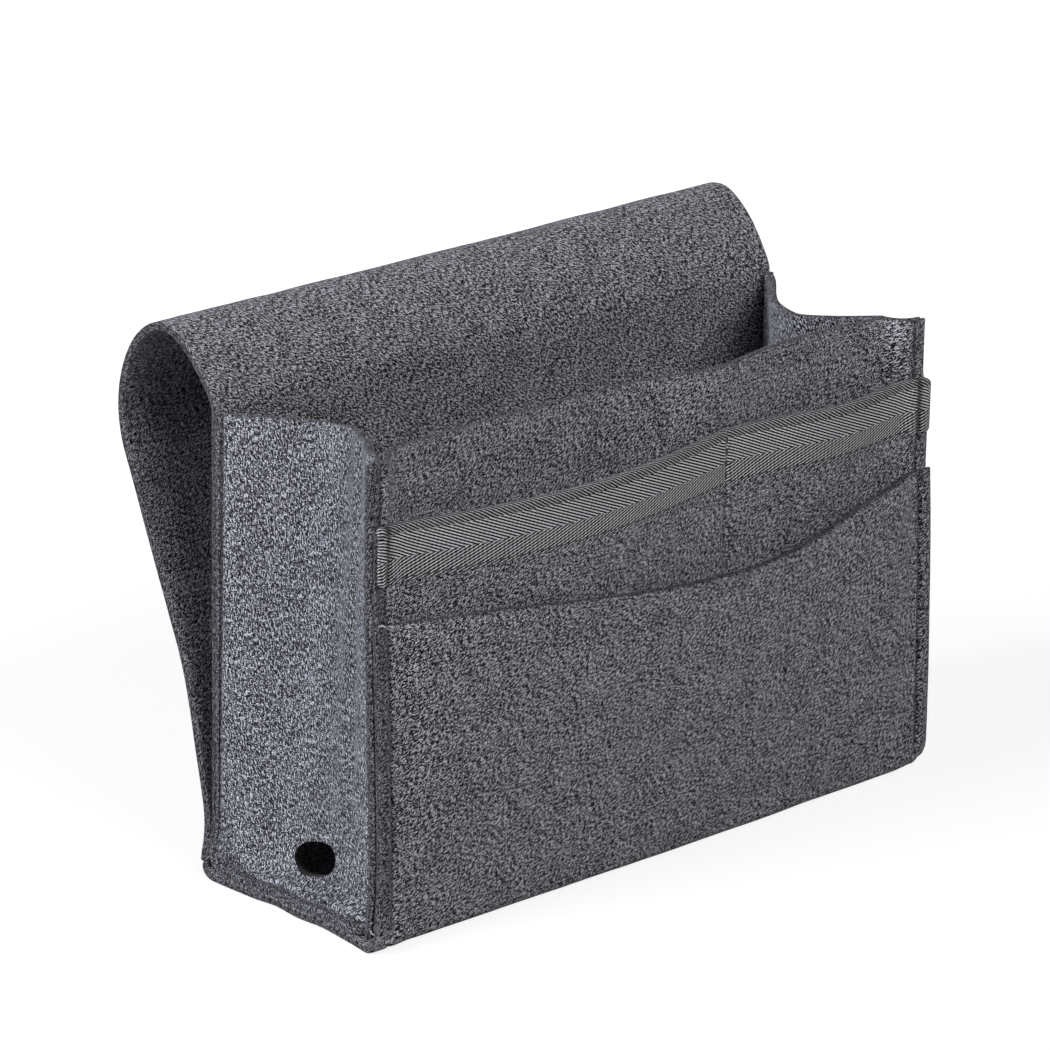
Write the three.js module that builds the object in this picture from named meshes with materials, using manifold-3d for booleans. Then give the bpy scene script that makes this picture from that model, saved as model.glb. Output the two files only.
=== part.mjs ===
// A bedside caddy sewn from thick grey felt: a box with a pocketed front and a long flap at the back.
// Millimetres. X runs to the right, the front faces -Y and Z is up.
// The origin is the middle of the bottom face, on the surface that the caddy stands on.

import * as THREE from 'three';
import Module from 'manifold-3d';

const wasm = await Module();
wasm.setup();

// Materials
const FELT = 3.4; // thickness of each felt panel
const HEM = 1.7; // thickness of each felt panel where the front seams squeeze it flat
const TAPE = 0.8; // thickness of the woven binding tape
const GAP = 0.3; // clearance between two layers that touch
const POCKET_GAP = 0.6; // clearance between the two pockets, which meet at a slant
const FRONT_FELT = { color: 0x56565a, roughness: 0.95 };
const SIDE_FELT = { color: 0x5c5c66, roughness: 0.95 };
const WOVEN_TAPE = { color: 0x77777a, roughness: 0.8 };
const SEWING_THREAD = { color: 0x8a8a8e, roughness: 0.7 };

// Overall sizes
const DEPTH = 100; // above the foot of the front
const HALF_WIDTH = 157; // to the outer edge of the seam flanges
const WALL_HALF_WIDTH = 156;
const SEAM_X = 150; // side seams, from the middle
const SQUEEZE = [130, 144]; // the front layers flatten from the first place to the second, in X
const SIDE_TOP = 199;
const WALL_TOP = 200;
const BACK_TOP = 199.6; // where the back panel turns into the flap, just above the side panels
const MIDDLE_TOP = 174;
const OUTER_TOP = 134;
const FOOT = 4; // how far the front's foot stands ahead of the outer pocket's rim
const CORNER = 7; // rounding of the flanges at the bottom corners

// Front wall and pockets
const WALL_BOW = 6; // how far the wall's top edge lies behind its side seams
const DIVIDER_X = 37.6; // seam that splits the middle pocket in two and holds it to the wall
const DIVIDER_REACH = 30; // how far that seam draws the wall forward to each side
const LEFT_SWELL = 15.5; // how far the middle pocket stands out, left of the divider
const RIGHT_SWELL = 4; // and right of it
const SWELL_SKEW = 0.88; // below 1, so that the pocket stands out most nearer its left end
const SWELL_POWER = 1.2; // how late the pocket opens, going up
const SCOOP_X = 40; // lowest point of the outer pocket's curved edge
const SCOOP = 15;
const OUTER_SWELL = 13.6; // how far the outer pocket stands out
const OUTER_SPREAD = 0.5; // below 1, so that it stands out close to its side seams
const OUTER_POWER = 0.8;
const FRONT_FOLD = 4; // radius of the bottom fold, to the middle of the felt
const BACK_FOLD = 5;
const LEAD = 1.5; // flat stretch of felt past each fold

// Side panels
const SIDE_X = 143.5; // plane of the side panels, before their edges turn outward
const TURN = 6.5; // radius of that turn
const FRONT_TURN = 11; // and at the front, above the height at which it has grown to that
const FRONT_TURN_Z = [28, 70];
const FRONT_EDGE = 155; // where their front flanges end, hidden behind the wider wall
const SIDE_ROUND = 8.5; // radius of the flange's path at the panel's two bottom corners
const LEFT_BOW = { depth: 16.4, y: -3 }; // how far a panel folds inward at its top, and where
const RIGHT_BOW = { depth: 27, y: -6 };
const BOW_POWER = 1.3; // 1 is a sharp crease, 2 a round bow
const SIDE_LEVELS = [SIDE_TOP, 170, 140, 105, 70, 45, 28]; // rows of the panel's upper part
const HOLE = { y: 2.4, z: 20.2, length: 25, height: 13.5, tilt: 18, reach: 40 };

// Binding tape along the top of the middle pocket
const TAPE_DROP = 24;
const TAPE_ROUND = 0.9;

// Flap, as a path from the top of the back panel over an arch and down behind the caddy
const ARCH_Y = 78;
const ARCH_LEFT = 226.9;
const ARCH_RIGHT = 229.9;
const RUN_TOP = [101.5, 170]; // the flap's flat run, in Y and Z
const RUN_END = [70.5, 98.5];
const TAIL_Y = 53.3;
const TAIL_LEFT = 4.5;
const TAIL_RIGHT = 7.5;
const ROOT_PULL = 6; // how far each curve keeps its direction past its end
const ARCH_FRONT_PULL = 13;
const ARCH_BACK_PULL = 19;
const RUN_PULL = 26;
const TAIL_PULL = 30;

// Threads
const THREAD = 0.6;
const THREAD_WIDTH = 0.8;
const FLANGE_SEAM_X = 153;
const SEAM_END = 2; // a seam stops this far short of an open edge
const STEP_RUN = 2; // height over which a thread climbs from one layer to the next
const STRETCH = 25; // longest straight stretch of a seam, so that it follows the leaning front
const CROSSING = 2.5; // clearance where two seams would cross

// Middle planes of the stacked layers, from the front and the bottom inward
const OUTER_Y = -DEPTH / 2 + FELT / 2;
const MIDDLE_STEP = FELT + 2 * GAP + TAPE;
const MIDDLE_Y = OUTER_Y + FELT + POCKET_GAP;
const WALL_Y = MIDDLE_Y + MIDDLE_STEP;
const BACK_Y = DEPTH / 2 - FELT / 2;
const SIDE_BACK_Y = BACK_Y - FELT - GAP;
const BOTTOM_Z = FELT / 2;
const SIDE_BOTTOM_Z = BOTTOM_Z + FELT + GAP;
const HALF_FRONT_FOLD = (FRONT_FOLD * Math.PI) / 4; // along the felt, from the fold's middle to its end

// Middle planes of the front layers at their seams
const OUTER_HEM_Y = (HEM - DEPTH) / 2;
const MIDDLE_HEM_Y = OUTER_HEM_Y + HEM + POCKET_GAP;
const WALL_HEM_Y = MIDDLE_HEM_Y + HEM + 2 * GAP + TAPE;
const SIDE_FRONT_Y = WALL_HEM_Y + HEM + GAP;

const caddy = new THREE.Group();

function clamp01(value) {
  return Math.min(1, Math.max(0, value));
}

function mix(from, to, share) {
  return from + (to - from) * share;
}

// Evenly spaced values from one end to the other
function steps(from, to, count) {
  return Array.from({ length: count + 1 }, (_, i) => mix(from, to, i / count));
}

// Moves the lower front forward: the most at its foot, not at all at the rim or at the back
function standFootForward(vertices) {
  for (let i = 0; i < vertices.length; i += 3) {
    const [y, z] = [vertices[i + 1], vertices[i + 2]];
    const nearFront = clamp01((SIDE_BACK_Y - y) / (SIDE_BACK_Y - OUTER_Y));
    const low = 1 - clamp01(z / OUTER_TOP) ** 2;
    vertices[i + 1] = y - FOOT * nearFront * low;
  }
}

function addMesh(name, { vertices, faces }, look) {
  standFootForward(vertices);
  const geometry = new THREE.BufferGeometry();
  geometry.setAttribute('position', new THREE.Float32BufferAttribute(vertices, 3));
  geometry.setIndex(faces);
  geometry.computeVertexNormals();
  const mesh = new THREE.Mesh(geometry, new THREE.MeshStandardMaterial({ ...look, metalness: 0 }));
  mesh.name = name;
  caddy.add(mesh);
}

// A grid of points, one row after another. Each cell is split along its shorter diagonal.
function grid(rows, columns, pointAt) {
  const points = [];
  for (const row of rows) {
    for (const column of columns) {
      points.push(pointAt(column, row));
    }
  }
  const triangles = [];
  const width = columns.length;
  for (let r = 0; r < rows.length - 1; r += 1) {
    for (let c = 0; c < width - 1; c += 1) {
      const a = r * width + c;
      const [b, d, e] = [a + 1, a + width, a + width + 1];
      if (points[a].distanceTo(points[e]) < points[b].distanceTo(points[d])) {
        triangles.push([a, b, e], [a, e, d]);
      } else {
        triangles.push([a, b, d], [b, e, d]);
      }
    }
  }
  return { points, triangles };
}

// Normals of a surface, averaged over the triangles round each point
function surfaceNormals({ points, triangles }) {
  const normals = points.map(() => new THREE.Vector3());
  for (const corners of triangles) {
    const [a, b, c] = corners.map((i) => points[i]);
    const normal = b.clone().sub(a).cross(c.clone().sub(a));
    for (const i of corners) {
      normals[i].add(normal);
    }
  }
  return normals.map((normal) => normal.normalize());
}

// Gives a surface its thickness: half on each side, with a rim along its open edges
function thicken(surface, thickness, normals = surfaceNormals(surface)) {
  const { points, triangles } = surface;
  const count = points.length;
  const vertices = [];
  for (const side of [0.5, -0.5]) {
    points.forEach((point, i) => {
      vertices.push(...point.clone().addScaledVector(normals[i], side * thickness).toArray());
    });
  }
  const faces = [];
  const edges = new Map();
  for (const [a, b, c] of triangles) {
    faces.push(a, b, c, a + count, c + count, b + count);
    for (const [from, to] of [[a, b], [b, c], [c, a]]) {
      edges.set(`${from} ${to}`, [from, to]);
    }
  }
  for (const [from, to] of edges.values()) {
    if (!edges.has(`${to} ${from}`)) {
      faces.push(to, from, from + count, to, from + count, to + count);
    }
  }
  return { vertices, faces };
}

// A thin bar of thread: its path, the direction across it and the direction it stands out
function threadBar(path, across, out) {
  const vertices = [];
  for (const point of path) {
    for (const [side, height] of [[-0.5, 0], [0.5, 0], [0.5, 1], [-0.5, 1]]) {
      const corner = point.clone();
      corner.addScaledVector(across, side * THREAD_WIDTH).addScaledVector(out, height * THREAD);
      vertices.push(...corner.toArray());
    }
  }
  const faces = [0, 1, 2, 0, 2, 3];
  const last = (path.length - 1) * 4;
  for (let i = 0; i < last; i += 4) {
    for (let k = 0; k < 4; k += 1) {
      const next = (k + 1) % 4;
      faces.push(i + k, i + k + 4, i + next + 4, i + k, i + next + 4, i + next);
    }
  }
  faces.push(last, last + 2, last + 1, last, last + 3, last + 2);
  const along = path[path.length - 1].clone().sub(path[0]);
  if (across.clone().cross(out).dot(along) > 0) {
    for (let i = 0; i < faces.length; i += 3) {
      [faces[i + 1], faces[i + 2]] = [faces[i + 2], faces[i + 1]];
    }
  }
  return { vertices, faces };
}

// Half width of a flanged panel, drawn in near a rounded corner
function flangeEdge(distance) {
  const short = Math.max(0, CORNER - distance);
  return HALF_WIDTH - CORNER + Math.sqrt(CORNER ** 2 - short ** 2);
}

// Columns of a panel: its two edges, the side seams and what lies between
function panelColumns(inner) {
  return [-HALF_WIDTH, -SEAM_X, ...inner, SEAM_X, HALF_WIDTH];
}

// How much of the way to their squeezed place the front layers are, at a place across the width
function squeeze(x) {
  return clamp01((Math.abs(x) - SQUEEZE[0]) / (SQUEEZE[1] - SQUEEZE[0]));
}

function feltAt(x) {
  return mix(FELT, HEM, squeeze(x));
}

// Columns of a front layer between its seams: the given ones, and those where it flattens
function frontColumns(inner) {
  return panelColumns([-SQUEEZE[1], -SQUEEZE[0], ...inner, ...SQUEEZE]);
}

// A front layer's normals, shortened where it is squeezed
function frontNormals(surface, shareAt = squeeze) {
  return surfaceNormals(surface).map((normal, i) => (
    normal.multiplyScalar(mix(1, HEM / FELT, shareAt(surface.points[i].x, i)))
  ));
}

function columnX(column, edge) {
  return Math.abs(column) > SEAM_X ? Math.sign(column) * edge : column;
}

// Surfaces of the front wall and the two pockets: Y at a place on the front
function wallY(x, z) {
  const arch = Math.max(0, 1 - (x / SEAM_X) ** 6);
  const held = Math.exp(-(((x - DIVIDER_X) / DIVIDER_REACH) ** 2));
  const free = WALL_Y + WALL_BOW * arch * (1 - held) * (z / WALL_TOP) ** 2;
  return mix(free, WALL_HEM_Y, squeeze(x));
}

function middleY(x, z) {
  const left = x < DIVIDER_X;
  const from = left ? -SEAM_X : DIVIDER_X;
  const to = left ? DIVIDER_X : SEAM_X;
  const share = clamp01((x - from) / (to - from)) ** SWELL_SKEW;
  const depth = left ? LEFT_SWELL : RIGHT_SWELL;
  const free = MIDDLE_Y - depth * Math.sin(Math.PI * share) * (z / MIDDLE_TOP) ** SWELL_POWER;
  return mix(free, MIDDLE_HEM_Y, squeeze(x));
}

function outerTop(x) {
  const end = x < SCOOP_X ? -SEAM_X : SEAM_X;
  const share = clamp01((x - end) / (SCOOP_X - end));
  return OUTER_TOP - (SCOOP * (1 - Math.cos(Math.PI * share))) / 2;
}

function outerY(x, z) {
  const across = Math.sin(Math.PI * clamp01((x + SEAM_X) / (2 * SEAM_X)));
  const up = clamp01((z - BOTTOM_Z - FRONT_FOLD) / (OUTER_TOP - SCOOP));
  const free = OUTER_Y - OUTER_SWELL * across ** OUTER_SPREAD * up ** OUTER_POWER;
  return mix(free, OUTER_HEM_Y, squeeze(x));
}

// Front wall
{
  const columns = frontColumns(steps(-SQUEEZE[0], SQUEEZE[0], 11).slice(1, -1));
  const rows = steps(BOTTOM_Z + FELT, WALL_TOP, 4);
  const surface = grid(rows, columns, (column, z) => {
    const x = columnX(column, WALL_HALF_WIDTH);
    return new THREE.Vector3(x, wallY(x, z), z);
  });
  addMesh('front_wall', thicken(surface, FELT, frontNormals(surface)), FRONT_FELT);
}

// Middle pocket. Its last rows are the ones that the binding tape covers.
const tapeLow = MIDDLE_TOP - TAPE_DROP;
const tapeRows = steps(tapeLow, MIDDLE_TOP, 2);
const pocketColumns = frontColumns([
  ...steps(-SQUEEZE[0], DIVIDER_X, 11).slice(1),
  ...steps(DIVIDER_X, SQUEEZE[0], 7).slice(1, -1),
]);
const pocketRows = [...steps(BOTTOM_Z + FRONT_FOLD + 2 * LEAD, tapeLow, 6).slice(0, -1), ...tapeRows];
const pocket = grid(pocketRows, pocketColumns, (column, z) => {
  const x = columnX(column, flangeEdge(z));
  return new THREE.Vector3(x, middleY(x, z), z);
});
const pocketNormals = surfaceNormals(pocket);
addMesh('middle_pocket', thicken(pocket, FELT, frontNormals(pocket)), FRONT_FELT);

// Binding tape, folded over the middle pocket's top edge
{
  const bend = TAPE_ROUND * Math.SQRT1_2;
  const lastRow = pocketRows.length - 1;
  const half = [
    ...tapeRows.map((_, i) => ({ row: lastRow - tapeRows.length + 1 + i, out: GAP + TAPE / 2, lift: 0, side: 1 })),
    { row: lastRow, out: bend, lift: bend, side: 1 },
    { row: lastRow, out: 0, lift: TAPE_ROUND, side: 1 },
  ];
  const section = [...half, ...half.map((place) => ({ ...place, side: -1 })).reverse()];
  const normals = [];
  const surface = grid(section, [...pocketColumns.keys()], (column, { row, out, lift, side }) => {
    const index = row * pocketColumns.length + column;
    const normal = pocketNormals[index].clone().multiplyScalar(side);
    const offset = feltAt(pocket.points[index].x) / 2 + out;
    const upward = new THREE.Vector3(0, 0, 1);
    normals.push(normal.clone().lerp(upward, lift / TAPE_ROUND).normalize());
    const point = pocket.points[index].clone().addScaledVector(normal, offset);
    return point.addScaledVector(upward, lift);
  });
  addMesh('pocket_binding', thicken(surface, TAPE, normals), WOVEN_TAPE);
}

// Rows of a fold at the foot of an upright panel: a short flat lead, then a quarter round.
// Each row has its distance inward from the panel, its height and its distance from the fold's middle.
function foldRows(radius, count) {
  const quarter = steps(0, Math.PI / 2, count).map((angle) => ({
    inward: radius * (1 - Math.sin(angle)),
    z: BOTTOM_Z + radius * (1 - Math.cos(angle)),
    far: radius * Math.abs(angle - Math.PI / 4),
  }));
  return [{ inward: radius + LEAD, z: BOTTOM_Z, far: HALF_FRONT_FOLD + LEAD }, ...quarter];
}

// Outer pocket
{
  const foldZ = BOTTOM_Z + FRONT_FOLD;
  const rows = [...foldRows(FRONT_FOLD, 3), ...steps(0, 1, 6).slice(1)];
  const columns = frontColumns(steps(-SQUEEZE[0], SQUEEZE[0], 13).slice(1, -1));
  const squeezedAt = (x, row) => squeeze(x) * (typeof row === 'object' ? 1 - row.inward / (FRONT_FOLD + LEAD) : 1);
  const surface = grid(rows, columns, (column, row) => {
    if (typeof row === 'object') {
      const x = columnX(column, flangeEdge(row.far));
      return new THREE.Vector3(x, mix(OUTER_Y, OUTER_HEM_Y, squeezedAt(x, row)) + row.inward, row.z);
    }
    const z = mix(foldZ, outerTop(column), row);
    const x = columnX(column, flangeEdge(HALF_FRONT_FOLD + z - foldZ));
    return new THREE.Vector3(x, outerY(x, z), z);
  });
  const normals = frontNormals(surface, (x, i) => squeezedAt(x, rows[Math.floor(i / columns.length)]));
  addMesh('outer_pocket', thicken(surface, FELT, normals), FRONT_FELT);
}

// Bottom panel, between the two folds
{
  const front = OUTER_Y + FRONT_FOLD + LEAD + GAP;
  const back = BACK_Y - BACK_FOLD - LEAD - GAP;
  const rows = [front, front + CORNER / 2, front + CORNER, back];
  const surface = grid(rows, panelColumns([-60, 70]), (column, y) => {
    const edge = flangeEdge(HALF_FRONT_FOLD + LEAD + y - front);
    return new THREE.Vector3(columnX(column, edge), y, BOTTOM_Z);
  });
  addMesh('bottom_panel', thicken(surface, FELT), FRONT_FELT);
}

// Back panel
{
  const upright = steps(BOTTOM_Z + BACK_FOLD, BACK_TOP - GAP / 2, 3).slice(1);
  const rows = [...foldRows(BACK_FOLD, 4), ...upright.map((z) => ({ inward: 0, z }))];
  const surface = grid(rows, panelColumns([-70, 60]), (x, { inward, z }) => (
    new THREE.Vector3(x, BACK_Y - inward, z)
  ));
  addMesh('back_panel', thicken(surface, FELT), FRONT_FELT);
}

// Flap: two Bezier arches, a flat run and a curved tail, at one place across the width
function flapPath(x) {
  const share = (x + HALF_WIDTH) / (2 * HALF_WIDTH);
  const archZ = mix(ARCH_LEFT, ARCH_RIGHT, share);
  const tailZ = mix(TAIL_LEFT, TAIL_RIGHT, share);
  const point = (y, z) => new THREE.Vector2(y, z);
  const runTop = point(...RUN_TOP);
  const runEnd = point(...RUN_END);
  const down = runEnd.clone().sub(runTop).normalize();
  const root = point(BACK_Y, BACK_TOP + GAP / 2);
  const arch = point(ARCH_Y, archZ);
  const aboveRun = runTop.clone().addScaledVector(down, -RUN_PULL);
  const belowRun = runEnd.clone().addScaledVector(down, RUN_PULL);
  const end = point(TAIL_Y, tailZ);
  const aboveEnd = point(TAIL_Y, tailZ + TAIL_PULL);
  const aboveRoot = point(BACK_Y, BACK_TOP + ROOT_PULL);
  return {
    front: new THREE.CubicBezierCurve(root, aboveRoot, point(ARCH_Y - ARCH_FRONT_PULL, archZ), arch),
    back: new THREE.CubicBezierCurve(arch, point(ARCH_Y + ARCH_BACK_PULL, archZ), aboveRun, runTop),
    run: new THREE.LineCurve(runTop, runEnd),
    tail: new THREE.CubicBezierCurve(runEnd, belowRun, aboveEnd, end),
  };
}

// A stretch of the flap as a felt sheet; its ends are cut square to the path
function flapSheet(name, stations) {
  const columns = [-HALF_WIDTH, -55, 60, HALF_WIDTH];
  const normals = [];
  const surface = grid(stations, columns, (x, { curve, share, shift }) => {
    const path = flapPath(x)[curve];
    const { x: y, y: z } = path.getPoint(share);
    const tangent = path.getTangent(share);
    normals.push(new THREE.Vector3(0, -tangent.y, tangent.x));
    return new THREE.Vector3(x, y + tangent.x * shift, z + tangent.y * shift);
  });
  addMesh(name, thicken(surface, FELT, normals), FRONT_FELT);
}

function stretch(curve, count) {
  return steps(0, 1, count).map((share) => ({ curve, share, shift: 0 }));
}

{
  const front = stretch('front', 8);
  front[front.length - 1].shift = -GAP / 2;
  flapSheet('flap_bend', front);
  const tail = [...stretch('back', 8), ...stretch('run', 1).slice(1), ...stretch('tail', 5).slice(1)];
  tail[0].shift = GAP / 2;
  flapSheet('flap_tail', tail);
}

// Side panel: a sheet whose front, bottom and back edges turn outward into flanges.
// The path of the flanges starts at the front top and ends at the back top.
function sidePanel(sign, bow) {
  const arcs = steps(0, 1, 4);
  const centreZ = SIDE_BOTTOM_Z + SIDE_ROUND;
  const atFront = { y: SIDE_FRONT_Y, inward: [1, 0], edge: FRONT_EDGE, thin: HEM / FELT };
  const atBack = { y: SIDE_BACK_Y, inward: [-1, 0], edge: HALF_WIDTH, turn: TURN, thin: 1 };
  const frontPath = SIDE_LEVELS.map((z) => {
    const grown = clamp01((z - FRONT_TURN_Z[0]) / (FRONT_TURN_Z[1] - FRONT_TURN_Z[0]));
    return { ...atFront, z, turn: mix(TURN, FRONT_TURN, grown) };
  });
  const backPath = SIDE_LEVELS.map((z) => ({ ...atBack, z }));
  for (const share of arcs) {
    const [across, down] = [Math.cos((share * Math.PI) / 2), Math.sin((share * Math.PI) / 2)];
    const edge = flangeEdge(SIDE_ROUND * Math.abs(share - 0.5) * (Math.PI / 2));
    const inset = SIDE_ROUND * (1 - across);
    const z = centreZ - SIDE_ROUND * down;
    frontPath.push({
      y: SIDE_FRONT_Y + inset,
      z,
      inward: [across, down],
      edge: mix(FRONT_EDGE, edge, share),
      turn: TURN,
      thin: mix(HEM / FELT, 1, share),
    });
    backPath.push({ ...atBack, y: SIDE_BACK_Y - inset, z, inward: [-across, down], edge });
  }

  // Each row crosses the panel from the front path to the back path
  const columns = steps(0, 1, 12);
  const bowAt = (y, z) => {
    const half = y < bow.y ? bow.y - SIDE_FRONT_Y - FRONT_TURN : SIDE_BACK_Y - TURN - bow.y;
    const across = Math.max(0, 1 - Math.abs((y - bow.y) / half) ** BOW_POWER);
    return bow.depth * across * clamp01((z - SIDE_BOTTOM_Z) / (SIDE_TOP - SIDE_BOTTOM_Z));
  };
  const rows = frontPath.map((front, i) => ({ front, back: backPath[i] }));
  const inner = ({ y, z, inward, turn }) => [y + inward[0] * turn, z + inward[1] * turn];
  const surface = grid(rows, columns, (share, { front, back }) => {
    const [y0, z] = inner(front);
    const [y1] = inner(back);
    const y = mix(y0, y1, share);
    return new THREE.Vector3(sign * (SIDE_X - bowAt(y, z)), y, z);
  });

  // The turned edge, outward from each point of the panel's border
  const width = columns.length;
  const lastRow = rows.length - 1;
  const border = [
    ...rows.map(({ front }, i) => ({ index: i * width, place: front })),
    ...columns.slice(1, -1).map((share, i) => {
      const y = mix(frontPath[lastRow].y, backPath[lastRow].y, share);
      const place = { ...atBack, y, z: SIDE_BOTTOM_Z, inward: [0, 1] };
      return { index: lastRow * width + i + 1, place };
    }),
    ...rows.map(({ back }, i) => ({ index: i * width + width - 1, place: back })).reverse(),
  ];
  const turns = steps(0, Math.PI / 2, 3).slice(1);
  const thinness = surface.points.map(() => 1);
  let previous = null;
  for (const { index, place } of border) {
    const { y, z, inward, edge, turn, thin } = place;
    const ring = [index];
    const add = (offset, x, thinned) => {
      ring.push(surface.points.length);
      surface.points.push(new THREE.Vector3(sign * x, y + inward[0] * offset, z + inward[1] * offset));
      thinness.push(mix(1, thin, thinned));
    };
    for (const angle of turns) {
      add(turn * (1 - Math.sin(angle)), SIDE_X + turn * (1 - Math.cos(angle)), angle / (Math.PI / 2));
    }
    add(0, edge, 1);
    if (previous) {
      for (let k = 0; k < ring.length - 1; k += 1) {
        const [a, b, c, d] = [previous[k], previous[k + 1], ring[k + 1], ring[k]];
        surface.triangles.push([a, c, b], [a, d, c]);
      }
    }
    previous = ring;
  }
  const normals = surfaceNormals(surface).map((normal, i) => normal.multiplyScalar(thinness[i]));
  return thicken(surface, FELT, normals);
}

function toManifold({ vertices, faces }) {
  const mesh = new wasm.Mesh({
    numProp: 3,
    vertProperties: new Float32Array(vertices),
    triVerts: new Uint32Array(faces),
  });
  return new wasm.Manifold(mesh);
}

// The cable hole: an oval cut right through a side panel along X
function cutCableHole(shell) {
  const oval = new THREE.EllipseCurve(0, 0, HOLE.length / 2, HOLE.height / 2);
  const turn = THREE.MathUtils.degToRad(-HOLE.tilt);
  const ring = oval.getPoints(28).slice(0, -1).map((p) => p.rotateAround(new THREE.Vector2(), turn));
  const vertices = [];
  for (const x of [-HALF_WIDTH, HOLE.reach - HALF_WIDTH]) {
    vertices.push(...ring.flatMap((p) => [x, HOLE.y + p.x, HOLE.z + p.y]));
  }
  const count = ring.length;
  const faces = [];
  for (let i = 0; i < count; i += 1) {
    const next = (i + 1) % count;
    faces.push(i, i + count, next + count, i, next + count, next);
  }
  for (let i = 1; i < count - 1; i += 1) {
    faces.push(0, i, i + 1, count, count + i + 1, count + i);
  }
  faces.reverse();
  const cut = toManifold(shell).subtract(toManifold({ vertices, faces })).getMesh();
  return { vertices: Array.from(cut.vertProperties), faces: Array.from(cut.triVerts) };
}

addMesh('left_side_panel', cutCableHole(sidePanel(-1, LEFT_BOW)), SIDE_FELT);
addMesh('right_side_panel', sidePanel(1, RIGHT_BOW), SIDE_FELT);

// Threads
const ACROSS_X = new THREE.Vector3(1, 0, 0);
const FORWARD = new THREE.Vector3(0, -1, 0);
const UP = new THREE.Vector3(0, 0, 1);

function addThread(name, path, across, out) {
  const split = path.slice(1).flatMap((to, i) => {
    const from = path[i];
    const count = Math.ceil(to.distanceTo(from) / STRETCH);
    return steps(0, 1, count).slice(1).map((share) => from.clone().lerp(to, share));
  });
  addMesh(name, threadBar([path[0], ...split], across, out), SEWING_THREAD);
}

// A thread down the front of the stacked layers steps over the edge of each one
const CLEAR = 2 * GAP;
const OVER_TAPE = TAPE + GAP;
function frontThread(x, top) {
  const middle = MIDDLE_TOP - TAPE_DROP;
  const out = HEM / 2 + CLEAR;
  return [
    [OUTER_HEM_Y - out, CORNER],
    [OUTER_HEM_Y - out, OUTER_TOP + GAP],
    [MIDDLE_HEM_Y - out, OUTER_TOP + GAP + STEP_RUN],
    [MIDDLE_HEM_Y - out, middle - GAP - STEP_RUN],
    [MIDDLE_HEM_Y - out - OVER_TAPE, middle - GAP],
    [MIDDLE_HEM_Y - out - OVER_TAPE, MIDDLE_TOP + TAPE + 2 * GAP],
    [WALL_HEM_Y - out, MIDDLE_TOP + TAPE + GAP + 2 * STEP_RUN],
    [WALL_HEM_Y - out, top],
  ].map(([y, z]) => new THREE.Vector3(x, y, z));
}

for (const [side, sign] of [['left', -1], ['right', 1]]) {
  const seamX = sign * SEAM_X;
  const flangeX = sign * FLANGE_SEAM_X;
  const along = (y, z) => new THREE.Vector3(flangeX, y, z);
  addThread(`front_${side}_seam`, frontThread(seamX, WALL_TOP - SEAM_END), ACROSS_X, FORWARD);
  const backY = SIDE_BACK_Y - FELT / 2 - CLEAR;
  addThread(`back_${side}_seam`, [along(backY, 2 * CORNER), along(backY, SIDE_TOP - SEAM_END)], ACROSS_X, FORWARD);
  const bottomZ = SIDE_BOTTOM_Z + FELT / 2 + CLEAR;
  const frontEnd = along(SIDE_FRONT_Y + CORNER, bottomZ);
  addThread(`bottom_${side}_seam`, [frontEnd, along(SIDE_BACK_Y - CORNER, bottomZ)], ACROSS_X, UP);
}

// The seam that divides the middle pocket
{
  const middle = MIDDLE_TOP - TAPE_DROP;
  const path = [
    [3 * CORNER, 0],
    [middle - GAP - STEP_RUN, 0],
    [middle - GAP, OVER_TAPE],
    [MIDDLE_TOP, OVER_TAPE],
  ].map(([z, out]) => {
    const y = middleY(DIVIDER_X, z) - FELT / 2 - CLEAR - GAP - out;
    return new THREE.Vector3(DIVIDER_X, y, z);
  });
  addThread('divider_seam', path, ACROSS_X, FORWARD);
}

// The seam along the tape's lower edge, in two runs that stop short of the other seams
{
  const z = MIDDLE_TOP - TAPE_DROP + SEAM_END;
  for (const [side, from, to] of [['left', -SEAM_X, DIVIDER_X], ['right', DIVIDER_X, SEAM_X]]) {
    const xs = pocketColumns.filter((x) => x > from + CROSSING && x < to - CROSSING);
    const path = [from + CROSSING, ...xs, to - CROSSING].map((x) => {
      const y = middleY(x, z) - feltAt(x) / 2 - CLEAR - GAP - OVER_TAPE;
      return new THREE.Vector3(x, y, z);
    });
    addThread(`binding_${side}_seam`, path, UP, FORWARD);
  }
}

export default caddy;
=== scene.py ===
"""Looks of a bedside caddy sewn from thick grey felt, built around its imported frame."""

import math

import bpy
import numpy as np
from mathutils import Matrix, Vector, noise


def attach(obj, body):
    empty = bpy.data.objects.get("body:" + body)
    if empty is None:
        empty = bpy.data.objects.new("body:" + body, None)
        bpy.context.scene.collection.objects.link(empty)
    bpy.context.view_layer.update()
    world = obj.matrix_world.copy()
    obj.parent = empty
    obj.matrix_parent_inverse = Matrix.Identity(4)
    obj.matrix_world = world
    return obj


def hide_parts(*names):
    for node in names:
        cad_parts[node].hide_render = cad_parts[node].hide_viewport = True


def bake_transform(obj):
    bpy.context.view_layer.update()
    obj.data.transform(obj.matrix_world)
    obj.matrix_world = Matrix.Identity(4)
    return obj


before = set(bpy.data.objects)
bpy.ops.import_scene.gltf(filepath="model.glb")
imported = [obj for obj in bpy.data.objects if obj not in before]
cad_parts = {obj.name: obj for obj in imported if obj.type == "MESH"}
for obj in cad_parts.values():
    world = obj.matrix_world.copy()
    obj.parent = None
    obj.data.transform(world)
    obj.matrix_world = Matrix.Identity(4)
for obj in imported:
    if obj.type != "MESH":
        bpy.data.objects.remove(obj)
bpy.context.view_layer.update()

MM = 0.001

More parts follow.
